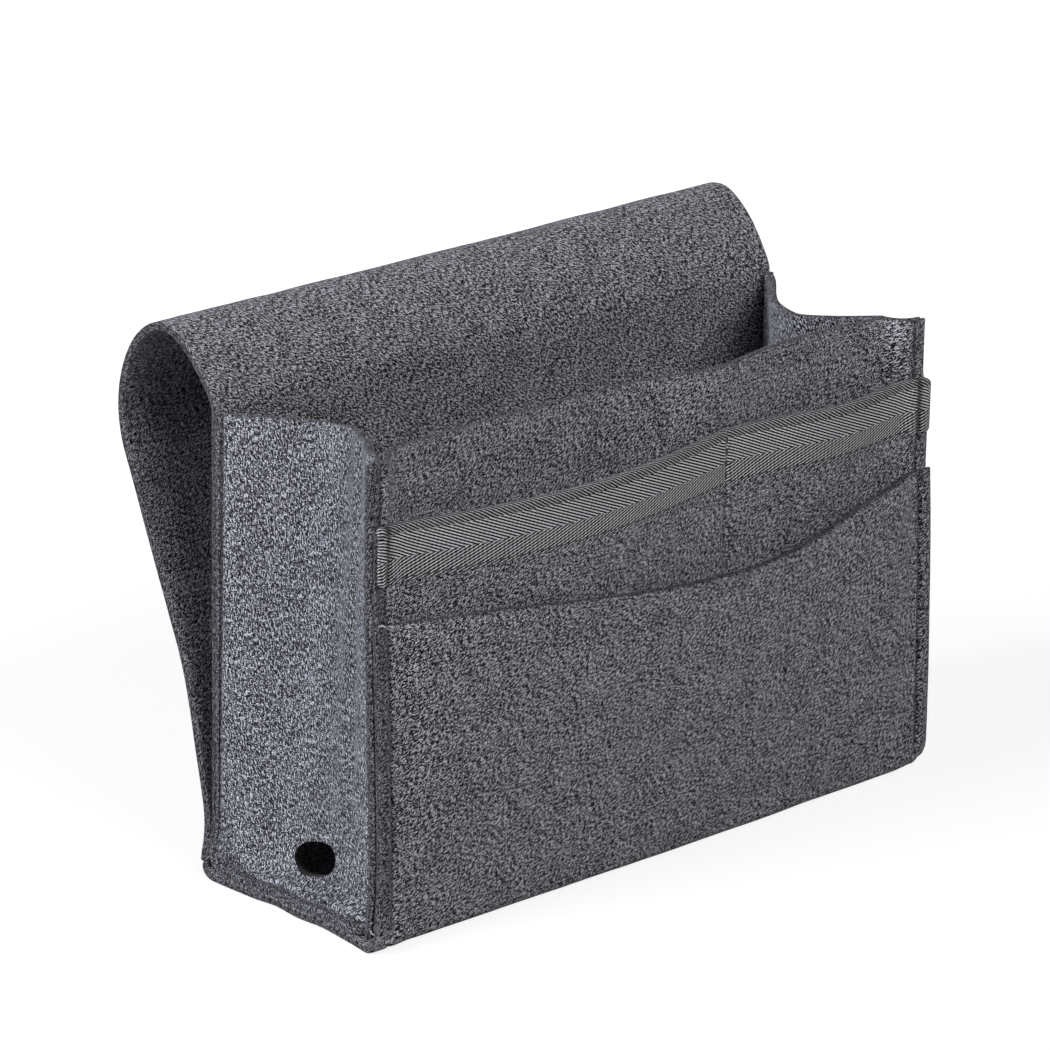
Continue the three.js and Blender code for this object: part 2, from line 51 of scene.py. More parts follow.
# Sizes in millimetres, close to those in the part's source
FELT = 3.4
HEM = 1.7
TAPE = 0.8
GAP = 0.3
POCKET_GAP = 0.6
HALF_WIDTH = 157
WALL_HALF_WIDTH = 156
SEAM_X = 150
FLANGE_SEAM_X = 153
SQUEEZE = (138, 148)
SIDE_TOP = 199
WALL_TOP = 200
BACK_TOP = 199.6
MIDDLE_TOP = 172.8
OUTER_TOP = 134
FOOT = 4
WALL_BOW = 8
DIVIDER_X = 37.6
DIVIDER_REACH = 30
LEFT_SWELL = 15.5
RIGHT_SWELL = 8
SWELL_POWER = 1.2
RIGHT_SKEW = 1.2
RIGHT_POWER = 4
SCOOP_X = 40
SCOOP = 15
OUTER_SWELL = 13.6
OUTER_POWER = 0.8
FRONT_FOLD = 4
BACK_FOLD = 5
POCKET_FOOT = 8.7
SIDE_X = 143.5
BACK_SIDE_X = 153
BACK_LEAN = 1.6
BACK_TURN = 2
BACK_PRESS = 0.6
BACK_SHIFT = 0.75
BOTTOM_SIDE_X = 151.5
BOTTOM_TURN = 2.6
TURN = 6.5
FRONT_TURN = 11
FRONT_TURN_Z = (28, 70)
FRONT_EDGE = 155
SIDE_ROUND = 8.5
SIDE_CORNER = 7
BOW_POWER = 1.3
TAPE_DROP = 22.6
ARCH_Y = 78
ARCH_Z = (226.9, 229.9)
RUN_TOP = (102.3, 170)
RUN_END = (70.5, 98.5)
TAIL_Y = 52.8
TAIL_Z = (1.4, 5)
ROOT_PULL = 6
ARCH_FRONT_PULL = 13
ARCH_BACK_PULL = 21
RUN_PULL = 26
TAIL_PULL = 30

# Middle planes of the layers, free and pressed flat at the front seams
OUTER_Y = -48.3
MIDDLE_Y = OUTER_Y + FELT + POCKET_GAP
WALL_Y = MIDDLE_Y + FELT + 2 * GAP + TAPE
OUTER_HEM_Y = OUTER_Y - (FELT - HEM) / 2
MIDDLE_HEM_Y = OUTER_HEM_Y + HEM + POCKET_GAP
WALL_HEM_Y = MIDDLE_HEM_Y + HEM + 2 * GAP + TAPE
SIDE_FRONT_Y = WALL_HEM_Y + HEM + GAP
BACK_Y = -OUTER_Y
SIDE_BACK_Y = BACK_Y - FELT - GAP
BOTTOM_Z = FELT / 2
SIDE_BOTTOM_Z = BOTTOM_Z + FELT + GAP

# Looks only
TAIL_CORNER = 5  # rounding of the flap's lower corners
TAIL_NARROW = 0.019  # share by which the flap's left half narrows towards its lower end
LEFT_CORNER = 1.5  # rounding of the front's bottom corners
RIGHT_CORNER = 9
RIM = 0.75  # rounding of the felt's cut edges
GROOVE = 1.0  # depth of a seam's groove
GROOVE_REACH = 1.2
STRIP_SPLIT_Z = 150  # height on the back where the folded strip and the flap's root meet
BEND_SPLIT = 0.5  # place on the flap's front arch where its root and the flap meet
INNER_HALF = 140  # half the width with evenly spaced columns
COLUMN_STEP = 4
EDGE_SQUEEZE = (143, 151)
RIGHT_SHORT = 1.6  # how far the right edge of the back and the flap stands short
RIGHT_SHORT_Z = 60
WALL_DROOP = 1.3  # how far the wall's upper corners hang
FLANGE_FILL = 1.1  # extra thickness of the wall's flanges behind the pocket
FLANGE_PUFF = 0.45  # fullness of the outer pocket's flanges
BOUND_PRESS = 0.6  # how far the tape presses in each face of the middle pocket
POCKET_FLANGES = (5.2, 6.4)  # width of the middle pocket's flanges, left and right
PAINTED_FLANGE_SHADES = (0.65, 0.22)  # painted shade on the front's flanges, left and right


def clamp01(value):
    return np.clip(value, 0, 1)


def smooth(value):
    value = clamp01(value)
    return value * value * (3 - 2 * value)


def mix(start, stop, share):
    return start + (stop - start) * share


# Shapes

def stand_foot_forward(points):
    """Moves the lower front forward: the most at its foot, not at all at the rim or at the back."""
    near_front = clamp01((SIDE_BACK_Y - points[..., 1]) / (SIDE_BACK_Y - OUTER_Y))
    low = 1 - clamp01(points[..., 2] / OUTER_TOP) ** 2
    points[..., 1] -= FOOT * near_front * low
    return points


def groove(x, seam_x, reach=GROOVE_REACH):
    return np.exp(-((np.abs(x) - seam_x) / reach) ** 2)


def squeeze(x):
    """How much of the way to their flattened place at the seams the front layers are."""
    return smooth((np.abs(x) - SQUEEZE[0]) / (SQUEEZE[1] - SQUEEZE[0]))


def thinned(x):
    """How far each face of a front layer is pressed in: flat at the seam, a little fuller at its edge."""
    fuller = 0.25 * smooth((np.abs(x) - SEAM_X - 1) / 4)
    return -(FELT - HEM) / 2 * squeeze(x) + fuller


def puff(x):
    """Fullness of an outermost flange between its seam and its edge, from 0 to 1."""
    return np.sin(np.pi * clamp01((np.abs(x) - SEAM_X) / (HALF_WIDTH - SEAM_X))) ** 0.7


# How far the left bottom flange stands out beyond its straight line, from the front to the back
FLARE_Y = (-56, -50, -40, -20, 10, 30, 50)
FLARE = (5.6, 5.2, 3.4, 2.0, 1.6, 2.6, 3.8)
FLARE_X = (138, 151)
FLARE_HEIGHT = 15
FRONT_PULL_Y = -54  # the flange's front end is pulled forward and its back end backward
FRONT_PULL = 3.4
BACK_PULL_Y = 48
BACK_PULL = 2.0
PULL_REACH = 9
SAG = 2.2
SAG_HEIGHT = 22
FLANGE_WAVE = 0.9


def handmade(points):
    """Sets the foot as it stands: forward, the left flange flared, both a little wavy, the front sagging."""
    points = stand_foot_forward(points)
    x, y, z = (points[..., i] for i in range(3))
    low = np.exp(-(z / FLARE_HEIGHT) ** 2)
    flange = smooth((np.abs(x) - FLARE_X[0]) / (FLARE_X[1] - FLARE_X[0]))
    left = flange * low * (x < 0)
    moved = points.copy()
    moved[..., 0] -= left * np.interp(y, FLARE_Y, FLARE)
    moved[..., 1] -= left * FRONT_PULL * np.exp(-((y - FRONT_PULL_Y) / PULL_REACH) ** 2)
    moved[..., 1] += left * BACK_PULL * np.exp(-((y - BACK_PULL_Y) / PULL_REACH) ** 2)
    sag = smooth((x + HALF_WIDTH) / 25) * (1 - smooth(x / SEAM_X)) * smooth((-y - 15) / 25)
    moved[..., 1] -= SAG * sag * np.exp(-(z / SAG_HEIGHT) ** 2)
    wave = 0.5 + 0.5 * np.sin(y / 6.3 + 1.1 * np.sin(y / 13) + np.where(x < 0, 0, 2))
    moved[..., 2] += FLANGE_WAVE * flange * low * wave * clamp01(z / 2)
    return moved


def edge_squeeze(x):
    """How much of the way to their flattened place at the side seams the back and the wall's rim are."""
    return smooth((np.abs(x) - EDGE_SQUEEZE[0]) / (EDGE_SQUEEZE[1] - EDGE_SQUEEZE[0]))


def back_edge(sign, z):
    """X of the back's and the flap's edge: the right one stands a little short above the foot."""
    return HALF_WIDTH - RIGHT_SHORT * smooth(z / RIGHT_SHORT_Z) * (np.sign(sign) > 0)


def wall_y(x, z):
    arch = np.maximum(0, 1 - (x / SEAM_X) ** 10)
    held = np.exp(-((x - DIVIDER_X) / DIVIDER_REACH) ** 2)
    free = WALL_Y + WALL_BOW * arch * (1 - held) * (z / WALL_TOP) ** 2
    return mix(free, WALL_HEM_Y, squeeze(x))


def middle_y(x, z):
    left = x < DIVIDER_X
    start = np.where(left, -SEAM_X, DIVIDER_X)
    stop = np.where(left, DIVIDER_X, SEAM_X)
    share = clamp01((x - start) / (stop - start))
    left_swell = LEFT_SWELL * np.sin(np.pi * share) * (z / MIDDLE_TOP) ** SWELL_POWER
    right_swell = RIGHT_SWELL * np.sin(np.pi * share ** RIGHT_SKEW) ** 2 * (z / MIDDLE_TOP) ** RIGHT_POWER
    swell = np.where(left, left_swell, right_swell)
    crease = 0.7 * np.exp(-((x - DIVIDER_X) / 1.6) ** 2)
    return mix(MIDDLE_Y - swell + crease, MIDDLE_HEM_Y, squeeze(x))


def outer_top(x):
    end = np.where(x < SCOOP_X, -SEAM_X, SEAM_X)
    share = clamp01((x - end) / (SCOOP_X - end))
    return OUTER_TOP - SCOOP * (1 - np.cos(np.pi * share)) / 2


def outer_across(x):
    """How far out the outer pocket stands across its width, from 0 at its seams to 1."""
    knots = np.linspace(-SEAM_X, SEAM_X, 15)
    heights = np.sqrt(np.sin(np.pi * clamp01((knots + SEAM_X) / (2 * SEAM_X))))
    spread = np.mean([np.interp(x + shift, knots, heights) for shift in (-8, -4, 0, 4, 8)], axis=0)
    return spread * smooth((SEAM_X - np.abs(x)) / 10)


def outer_y(x, z):
    up = clamp01((z - BOTTOM_Z - FRONT_FOLD) / (OUTER_TOP - SCOOP))
    free = OUTER_Y - OUTER_SWELL * outer_across(x) * up ** OUTER_POWER
    return mix(free, OUTER_HEM_Y, squeeze(x))


def edge_x(column, far):
    """X of a panel's column, with its flange drawn in near the front's rounded bottom corners."""
    corner = np.where(column < 0, LEFT_CORNER, RIGHT_CORNER)
    short = np.maximum(0, corner - far)
    edge = HALF_WIDTH - corner + np.sqrt(corner ** 2 - short ** 2)
    size = np.abs(column)
    share = clamp01((size - SEAM_X) / (HALF_WIDTH - SEAM_X))
    return np.sign(column) * (np.minimum(size, SEAM_X) + share * (edge - SEAM_X))


def panel_columns(half_width, divider=False):
    """Columns across a panel, close together at the seams."""
    flange = np.append(SEAM_X + np.array([0.5, 1.0, 1.6, 2.5, 4, 5.2]), half_width)
    near = SEAM_X - np.array([0, 0.5, 1.0, 1.6, 2.5, 3.8, 5.4, 7.6])
    outer = np.concatenate([near, flange])
    count = 2 * INNER_HALF // COLUMN_STEP
    inner = np.linspace(-INNER_HALF, INNER_HALF, count + 1)
    if divider:
        close = np.array([-6, -4, -2.6, -1.3, 0, 1.3, 2.6, 4, 6]) + DIVIDER_X
        inner = np.concatenate([inner[np.abs(inner - DIVIDER_X) > 7], close])
    return np.sort(np.concatenate([-outer, inner, outer]))


def bezier(points, share):
    a, b, c, d = (np.asarray(p, float) for p in points)
    rest = 1 - share
    return a * rest ** 3 + 3 * b * rest ** 2 * share + 3 * c * rest * share ** 2 + d * share ** 3


def flap_curves(column):
    """The flap's path at one place across the width, as four curves of Y and Z."""
    share = (column + HALF_WIDTH) / (2 * HALF_WIDTH)
    arch_z = mix(*ARCH_Z, share)
    tail_z = mix(*TAIL_Z, share)
    run_top, run_end = np.array(RUN_TOP), np.array(RUN_END)
    down = (run_end - run_top) / np.linalg.norm(run_end - run_top)
    arch = np.array([ARCH_Y, arch_z])
    root = np.array([BACK_Y, BACK_TOP])
    return {
        "front": (root, (BACK_Y, BACK_TOP + ROOT_PULL), (ARCH_Y - ARCH_FRONT_PULL, arch_z), arch),
        "back": (arch, (ARCH_Y + ARCH_BACK_PULL, arch_z), run_top - RUN_PULL * down, run_top),
        "run": (run_top, mix(run_top, run_end, 1 / 3), mix(run_top, run_end, 2 / 3), run_end),
        "tail": (run_end, run_end + RUN_PULL * down, (TAIL_Y, tail_z + TAIL_PULL), (TAIL_Y, tail_z)),
    }


# Meshes

def noise_at(points, size, seed):
    offset = Vector((seed * 13.7, seed * 7.1, seed * 3.3))
    return np.array([noise.noise(Vector(p) / size + offset) for p in points])


def unit(vectors):
    length = np.linalg.norm(vectors, axis=-1, keepdims=True)
    return vectors / np.maximum(length, 1e-9)


def grid_quads(rows, columns):
    index = np.arange(rows * columns).reshape(rows, columns)
    corners = (index[:-1, :-1], index[:-1, 1:], index[1:, 1:], index[1:, :-1])
    return np.stack(corners, axis=-1).reshape(-1, 4)


def surface_normals(points, quads):
    a, b, c, d = (points[quads[:, i]] for i in range(4))
    face = np.cross(c - a, d - b)
    normals = np.zeros_like(points)
    for i in range(4):
        np.add.at(normals, quads[:, i], face)
    return unit(normals)


def new_object(name, data):
    obj = bpy.data.objects.new(name, data)
    bpy.context.scene.collection.objects.link(obj)
    return obj


def add_object(name, vertices, faces, uvs, edge, material):
    """A mesh in metres from points in millimetres, with one UV map and a mark: painted shade and dark cut
    edges on felt and tape, pale loose ends on thread.
    """
    mesh = bpy.data.meshes.new(name)
    mesh.from_pydata((np.asarray(vertices) * MM).tolist(), [], faces)
    layer = mesh.uv_layers.new(name="Cloth")
    layer.uv.foreach_set("vector", np.asarray(uvs, np.float32).ravel())
    mark = mesh.attributes.new("edge", "FLOAT", "CORNER")
    corners = [vertex for face in faces for vertex in face]
    mark.data.foreach_set("value", np.asarray(edge, np.float32)[corners])
    mesh.shade_smooth()
    mesh.materials.append(material)
    return new_object(name, mesh)


# Section of a cut edge: share of half the thickness, and how far in it lies
EDGE_SECTION = [(1, 1), (0.93, 0.4), (0.72, 0.1), (0.35, 0), (-0.35, 0), (-0.72, 0.1), (-0.93, 0.4), (-1, 1)]


def cloth(name, points, quads, uv, material, thickness=FELT, rim=RIM, top=0, bottom=0, shade=0, joined=None,
          edge_shade=1.0):
    """A sheet of real thickness with rounded cut edges.

    top and bottom raise or sink its two faces, shade darkens them and edge_shade the cut edges. Where joined
    is true along an edge, that edge is cut square, because another piece goes on from there."""
    count = len(points)
    normals = surface_normals(points, quads)
    start, stop = quads.ravel(), np.roll(quads, -1, axis=1).ravel()
    is_open = ~np.isin(stop * count + start, start * count + stop)
    after = dict(zip(start[is_open].tolist(), stop[is_open].tolist()))
    before = {b: a for a, b in after.items()}
    border = np.array(sorted(after))
    slot = {v: i for i, v in enumerate(border.tolist())}

    def outward(a, b):
        out = unit(np.cross(points[b] - points[a], normals[a] + normals[b]))
        if joined is not None:
            out[joined[a] & joined[b]] = 0
        return out

    following = np.array([after[v] for v in border.tolist()])
    leading = np.array([before[v] for v in border.tolist()])
    first, second = outward(leading, border), outward(border, following)
    turn = np.sum(first * second, axis=1, keepdims=True)
    out = (first + second) / np.maximum(1 + turn, 0.6)

    along = np.zeros(len(border))
    left = set(border.tolist())
    while left:
        here, run = left.pop(), 0.0
        while here is not None:
            along[slot[here]] = run
            following_point = after[here]
            run += float(np.linalg.norm(points[following_point] - points[here]))
            here = following_point if following_point in left else None
            left.discard(following_point)

    half = thickness / 2
    heights = {1: half + np.broadcast_to(top, count), -1: half + np.broadcast_to(bottom, count)}
    faces_of = []
    for side in (1, -1):
        level = points + side * normals * heights[side][:, None]
        level[border] -= out * rim
        faces_of.append(level)
    rings = []
    for share, inset in EDGE_SECTION[1:-1]:
        height = heights[1 if share > 0 else -1][border] * share
        rings.append(points[border] - out * rim * inset + normals[border] * height[:, None])
    vertices = np.concatenate(faces_of + rings)
    ring_start = [2 * count + i * len(border) for i in range(len(rings))]

    faces = quads.tolist() + (quads[:, ::-1] + count).tolist()
    uvs = [uv[quads].reshape(-1, 2), (uv[quads[:, ::-1]] + (900, 400)).reshape(-1, 2)]
    places = np.arange(len(border))
    next_slot = np.array([slot[v] for v in following.tolist()])
    levels = [border] + [begin + places for begin in ring_start] + [border + count]
    across = np.cumsum([0] + [
        math.hypot((a[0] - b[0]) * half, (a[1] - b[1]) * rim) for a, b in zip(EDGE_SECTION, EDGE_SECTION[1:])
    ])
    step = np.linalg.norm(points[following] - points[border], axis=1)
    for i in range(len(levels) - 1):
        upper, lower = levels[i], levels[i + 1]
        quad = np.stack([upper, lower, lower[next_slot], upper[next_slot]], axis=1)
        faces += quad.tolist()
        corners = np.zeros((len(border), 4, 2))
        corners[:, :2, 0] = along[:, None]
        corners[:, 2:, 0] = (along + step)[:, None]
        corners[:, [0, 3], 1] = across[i]
        corners[:, [1, 2], 1] = across[i + 1]
        uvs.append((corners + (0, -500)).reshape(-1, 2))
    edge = np.zeros(len(vertices))
    # Painted shade on the faces; the rings darken the cut edges, scaled by edge_shade
    edge[:count] = edge[count:2 * count] = shade
    for begin, mark in zip(ring_start, (0.5, 0.9, 1, 1, 0.9, 0.5)):
        edge[begin:begin + len(border)] = mark * edge_shade
    obj = add_object(name, vertices, faces, np.concatenate(uvs), edge, material)
    if joined is not None:
        is_cap = joined[border] & joined[following]
        flat = np.concatenate([np.zeros(2 * len(quads), bool), np.tile(is_cap, len(levels) - 1)])
        obj.data.polygons.foreach_set("use_smooth", ~flat)
    return obj


def painted_flange_shade(x):
    """Painted shade on the flanges beyond their seam, more on the left than on the right, and along the
    seam's groove.
    """
    beyond = smooth((np.abs(x) - SEAM_X + 0.5) / 1.2)
    return np.maximum(beyond * np.where(x < 0, *PAINTED_FLANGE_SHADES), groove(x, SEAM_X, 1.0))


def wobble(points, quads, amount, size, seed):
    """Makes a hand-sewn panel slightly uneven."""
    shift = amount * noise_at(points, size, seed) + 0.4 * amount * noise_at(points, size * 0.4, seed + 1)
    return points + surface_normals(points, quads) * shift[:, None]


STITCH = 3.4
STITCH_GAP = 1.5
THREAD_RADIUS = 0.34
THREAD_SIDES = 8

# Section of a stitch: share of its length, height, and share of the thread's radius
STITCH_SECTION = [
    (0, -0.6, 0.3), (0.12, -0.2, 0.85), (0.35, 0.02, 1),
    (0.65, 0.02, 1), (0.88, -0.2, 0.85), (1, -0.6, 0.3),
]


def tube_rings(path, radii):
    """Points of a tube round a path, ring by ring."""
    tangent = unit(np.gradient(path, axis=0))
    guide = np.where(np.abs(tangent[:, :1]) < 0.9, [[1.0, 0, 0]], [[0, 0, 1.0]])
    side = unit(np.cross(tangent, guide))
    lift = np.cross(tangent, side)
    angles = np.linspace(0, 2 * np.pi, THREAD_SIDES, endpoint=False)
    ring = np.cos(angles)[None, :, None] * side[:, None] + np.sin(angles)[None, :, None] * lift[:, None]
    return path[:, None] + ring * radii[:, None, None]


def thread_object(name, tubes, loose):
    """One mesh of closed tubes, each a list of path points and radii. The first ones are loose ends."""
    vertices, faces, uvs, marks = [], [], [], []
    sides = THREAD_SIDES
    base = 0
    for number, (path, radii) in enumerate(tubes):
        rings = tube_rings(path, radii)
        count = len(rings)
        vertices.append(rings.reshape(-1, 3))
        marks += [float(number < loose)] * (count * sides)
        for r in range(count - 1):
            for k in range(sides):
                n = (k + 1) % sides
                a, b = base + r * sides, base + (r + 1) * sides
                faces.append([a + k, a + n, b + n, b + k])
                uvs += [(base + r, k), (base + r, k + 1), (base + r + 1, k + 1), (base + r + 1, k)]
        faces.append([base + k for k in reversed(range(sides))])
        faces.append([base + (count - 1) * sides + k for k in range(sides)])
        uvs += [(base, k) for k in range(2 * sides)]
        base += count * sides
    return add_object(name, np.concatenate(vertices), faces, uvs, marks, thread)


def stitches(path, normals):
    """A row of sewn stitches along a path, each dipping into the felt at its ends."""
    run = np.concatenate([[0], np.cumsum(np.linalg.norm(np.diff(path, axis=0), axis=1))])
    shares, heights, sizes = np.array(STITCH_SECTION).T
    pitch = STITCH + STITCH_GAP
    tubes = []
    for i in range(int((run[-1] - STITCH) // pitch) + 1):
        where = i * pitch + shares * STITCH
        spots = np.stack([np.interp(where, run, path[:, k]) for k in range(3)], axis=1)
        up = unit(np.stack([np.interp(where, run, normals[:, k]) for k in range(3)], axis=1))
        tubes.append((spots + up * heights[:, None], THREAD_RADIUS * sizes))
    return tubes


# Materials

class Tree:
    """The nodes of a material or of the world, with short calls to add more."""

    def __init__(self, name, kind=bpy.data.materials):
        self.owner = kind.new(name)
        self.owner.use_nodes = True
        self.nodes = self.owner.node_tree.nodes
        self.links = self.owner.node_tree.links

    def put(self, target, value):
        if isinstance(value, bpy.types.NodeSocket):
            self.links.new(value, target)
        else:
            target.default_value = value

    def add(self, kind, inputs=None, **settings):
        node = self.nodes.new(f"ShaderNode{kind}")
        for name, value in settings.items():
            setattr(node, name, value)
        for name, value in (inputs or {}).items():
            self.put(node.inputs[name], value)
        return node

    def look(self, values):
        for name, value in values.items():
            self.put(self.nodes["Principled BSDF"].inputs[name], value)

    def math(self, operation, *values):
        node = self.add("Math", operation=operation)
        for target, value in zip(node.inputs, values):
            self.put(target, value)
        return node.outputs[0]

    def noise(self, vector, scale, detail=2.0, roughness=0.6):
        inputs = {"Vector": vector, "Scale": scale, "Detail": detail, "Roughness": roughness}
        return self.add("TexNoise", inputs, noise_dimensions="2D").outputs["Fac"]

    def mapping(self, vector, angle=0.0, scale=(1, 1, 1)):
        inputs = {"Vector": vector, "Rotation": (0, 0, math.radians(angle)), "Scale": scale}
        return self.add("Mapping", inputs, vector_type="POINT").outputs[0]

    def turned(self, vector, angle, scale):
        """First turns the coordinates, then stretches them along the turned axes."""
        return self.mapping(self.mapping(vector, angle), 0, scale)

    def cloth_uv(self):
        return self.add("UVMap", uv_map="Cloth").outputs[0]

    # The mark in the colour: painted shade and dark cut edges on felt and tape, pale loose ends on thread
    def painted_shade_and_loose_end_mark(self):
        return self.add("Attribute", attribute_name="edge").outputs["Fac"]

    def remap(self, value, low, high, to_low=0.0, to_high=1.0, kind="LINEAR"):
        inputs = {"Value": value, "From Min": low, "From Max": high, "To Min": to_low, "To Max": to_high}
        return self.add("MapRange", inputs, interpolation_type=kind).outputs[0]

    def ramp(self, value, stops):
        node = self.add("ValToRGB", {0: value})
        elements = node.color_ramp.elements
        while len(elements) < len(stops):
            elements.new(0.5)
        for element, (place, colour) in zip(elements, stops):
            element.position = place
            element.color = (*colour, 1)
        return node.outputs[0]

    def blend(self, factor, first, second, kind="MIX"):
        node = self.add("Mix", {"Factor": factor}, data_type="RGBA", blend_type=kind)
        colours = [s for s in node.inputs if s.type == "RGBA"]
        self.put(colours[0], first)
        self.put(colours[1], second)
        return [s for s in node.outputs if s.type == "RGBA"][0]

    def bump(self, height, strength, distance):
        inputs = {"Strength": strength, "Distance": distance, "Height": height}
        self.look({"Normal": self.add("Bump", inputs).outputs[0]})

    def split(self, output, plain, seen):
        """Gives the camera one shader to see and everything else the plain one."""
        camera = self.add("LightPath").outputs["Is Camera Ray"]
        shader = self.add("MixShader", {0: camera, 1: plain.outputs[0], 2: seen.outputs[0]})
        self.add(output, {0: shader.outputs[0]})


def felt_material(name, tint, angles, spread):
    """Heathered felt: light and dark fibres in a few directions, matted together."""
    tree = Tree(name)
    uv = tree.cloth_uv()
    speck = tree.noise(uv, 1.9, 1.0, 0.5)
    clump = tree.noise(uv, 0.7)
    cloud = tree.noise(uv, 0.09)
    fibres = [tree.noise(tree.turned(uv, -angle, (0.5, 1.9, 1)), 1.0, 1.0) for angle in angles]
    total = tree.math("MULTIPLY", speck, 0.28)
    for part, weight in ((fibres[0], 0.3), (fibres[1], 0.2), (fibres[2], 0.1), (clump, 0.07), (cloud, 0.05)):
        total = tree.math("MULTIPLY_ADD", part, weight, total)
    level = tree.remap(total, 0.5 - spread, 0.5 + spread)
    shades = [(0, 0.003), (0.22, 0.015), (0.5, 0.072), (0.78, 0.25), (1, 0.62)]
    colour = tree.ramp(level, [(place, tuple(shade * part for part in tint)) for place, shade in shades])
    # The edge mark darkens the colour: painted shade on the flanges, in the seam grooves, on the side
    # panels' front part and foot, black in the cable hole, and darker cut edges
    painted_shade_factor = tree.math("MAXIMUM", tree.math("MULTIPLY_ADD", tree.painted_shade_and_loose_end_mark(), -0.67, 1.0), 0.03)
    tree.look({"Base Color": tree.blend(1.0, colour, painted_shade_factor, "MULTIPLY"), "Roughness": 0.95,
               "Specular IOR Level": 0.12, "Sheen Weight": 0.06, "Sheen Roughness": 0.6})
    tree.bump(total, 0.6, 0.0016)
    return tree.owner


def tape_material(name):
    """Herringbone twill: three bands of slanting yarns. UV is along the tape and across it, in mm."""
    tree = Tree(name)
    uv = tree.cloth_uv()
    along, down, _ = tree.add("SeparateXYZ", {0: uv}).outputs

    def wave(value, period):
        share = tree.math("FRACT", tree.math("DIVIDE", value, period))
        return tree.math("ABSOLUTE", tree.math("MULTIPLY_ADD", share, 2.0, -1.0))

    def yarns(slope, period):
        place = tree.math("MULTIPLY_ADD", along, slope, down)
        return tree.remap(wave(place, period), 0.4, 0.64, kind="SMOOTHSTEP")

    zigzag = tree.math("MULTIPLY_ADD", wave(along, 2.2), 0.8, down)
    # The upper band's yarns are dimmed, painted shade where the tape curves back over the rim
    upper = tree.math("MULTIPLY", yarns(-0.6, 1.3), 0.72)

    def dashed(slope, period, gap):
        crossing = wave(tree.math("MULTIPLY_ADD", down, 2 * slope, along), 1.25)
        dots = tree.remap(crossing, 0.1, 0.8, gap, 1.0, "SMOOTHSTEP")
        return tree.math("MULTIPLY", yarns(slope, period), dots)

    def above(first, second, border):
        """The first pattern above a zigzag border and the second one below it."""
        below = tree.math("GREATER_THAN", zigzag, border)
        shown = tree.math("MULTIPLY", first, tree.math("SUBTRACT", 1.0, below))
        return tree.math("MULTIPLY_ADD", second, below, shown)

    pattern = above(upper, dashed(-0.42, 1.3, 0.8), 2.6)
    pattern = above(pattern, dashed(0.42, 1.4, 0.65), 12.6)
    fuzz = tree.noise(uv, 1.6, 2.5, 0.7)
    level = tree.math("MULTIPLY_ADD", tree.math("SUBTRACT", fuzz, 0.5), 0.9, pattern)
    shades = [(0, 0.001), (0.3, 0.012), (0.62, 0.21), (1, 0.8)]
    colour = tree.ramp(level, [(place, (shade, shade, shade * 1.02)) for place, shade in shades])
    # Painted shade: the tape goes dark in the crease at each seam; its cut edges darken too
    painted_shade_colour = tree.blend(1.0, colour, (0.2, 0.2, 0.2, 1), "MULTIPLY")
    colour = tree.blend(tree.painted_shade_and_loose_end_mark(), colour, painted_shade_colour)
    tree.look({"Base Color": colour, "Roughness": 0.85, "Specular IOR Level": 0.2})
    tree.bump(level, 0.5, 0.0006)
    return tree.owner


def thread_material(name):
    tree = Tree(name)
    twist = tree.noise(tree.turned(tree.cloth_uv(), 0, (1.0, 0.6, 1)), 0.9)
    colour = tree.ramp(twist, [(0.25, (0.015, 0.015, 0.016)), (0.75, (0.09, 0.09, 0.094))])
    pale = tree.ramp(twist, [(0.25, (0.2, 0.2, 0.21)), (0.75, (0.6, 0.6, 0.62))])
    colour = tree.blend(tree.painted_shade_and_loose_end_mark(), colour, pale)
    tree.look({"Base Color": colour, "Roughness": 0.7})
    tree.bump(twist, 0.4, 0.0002)
    return tree.owner


felt = felt_material("felt", (0.89, 0.88, 0.96), (24, 62, -28), 0.054)
# The side panels' felt has its own fibre directions and more contrast, and a brighter, bluer tint that is
# painted light of the cool key lamp on the left
side_felt = felt_material("side_felt", (0.96, 0.96, 1.075), (84, 50, 8), 0.077)
tape = tape_material("tape")
thread = thread_material("thread")


# The strip: flap, back, bottom and outer pocket as one path from the flap's lower end to the rim

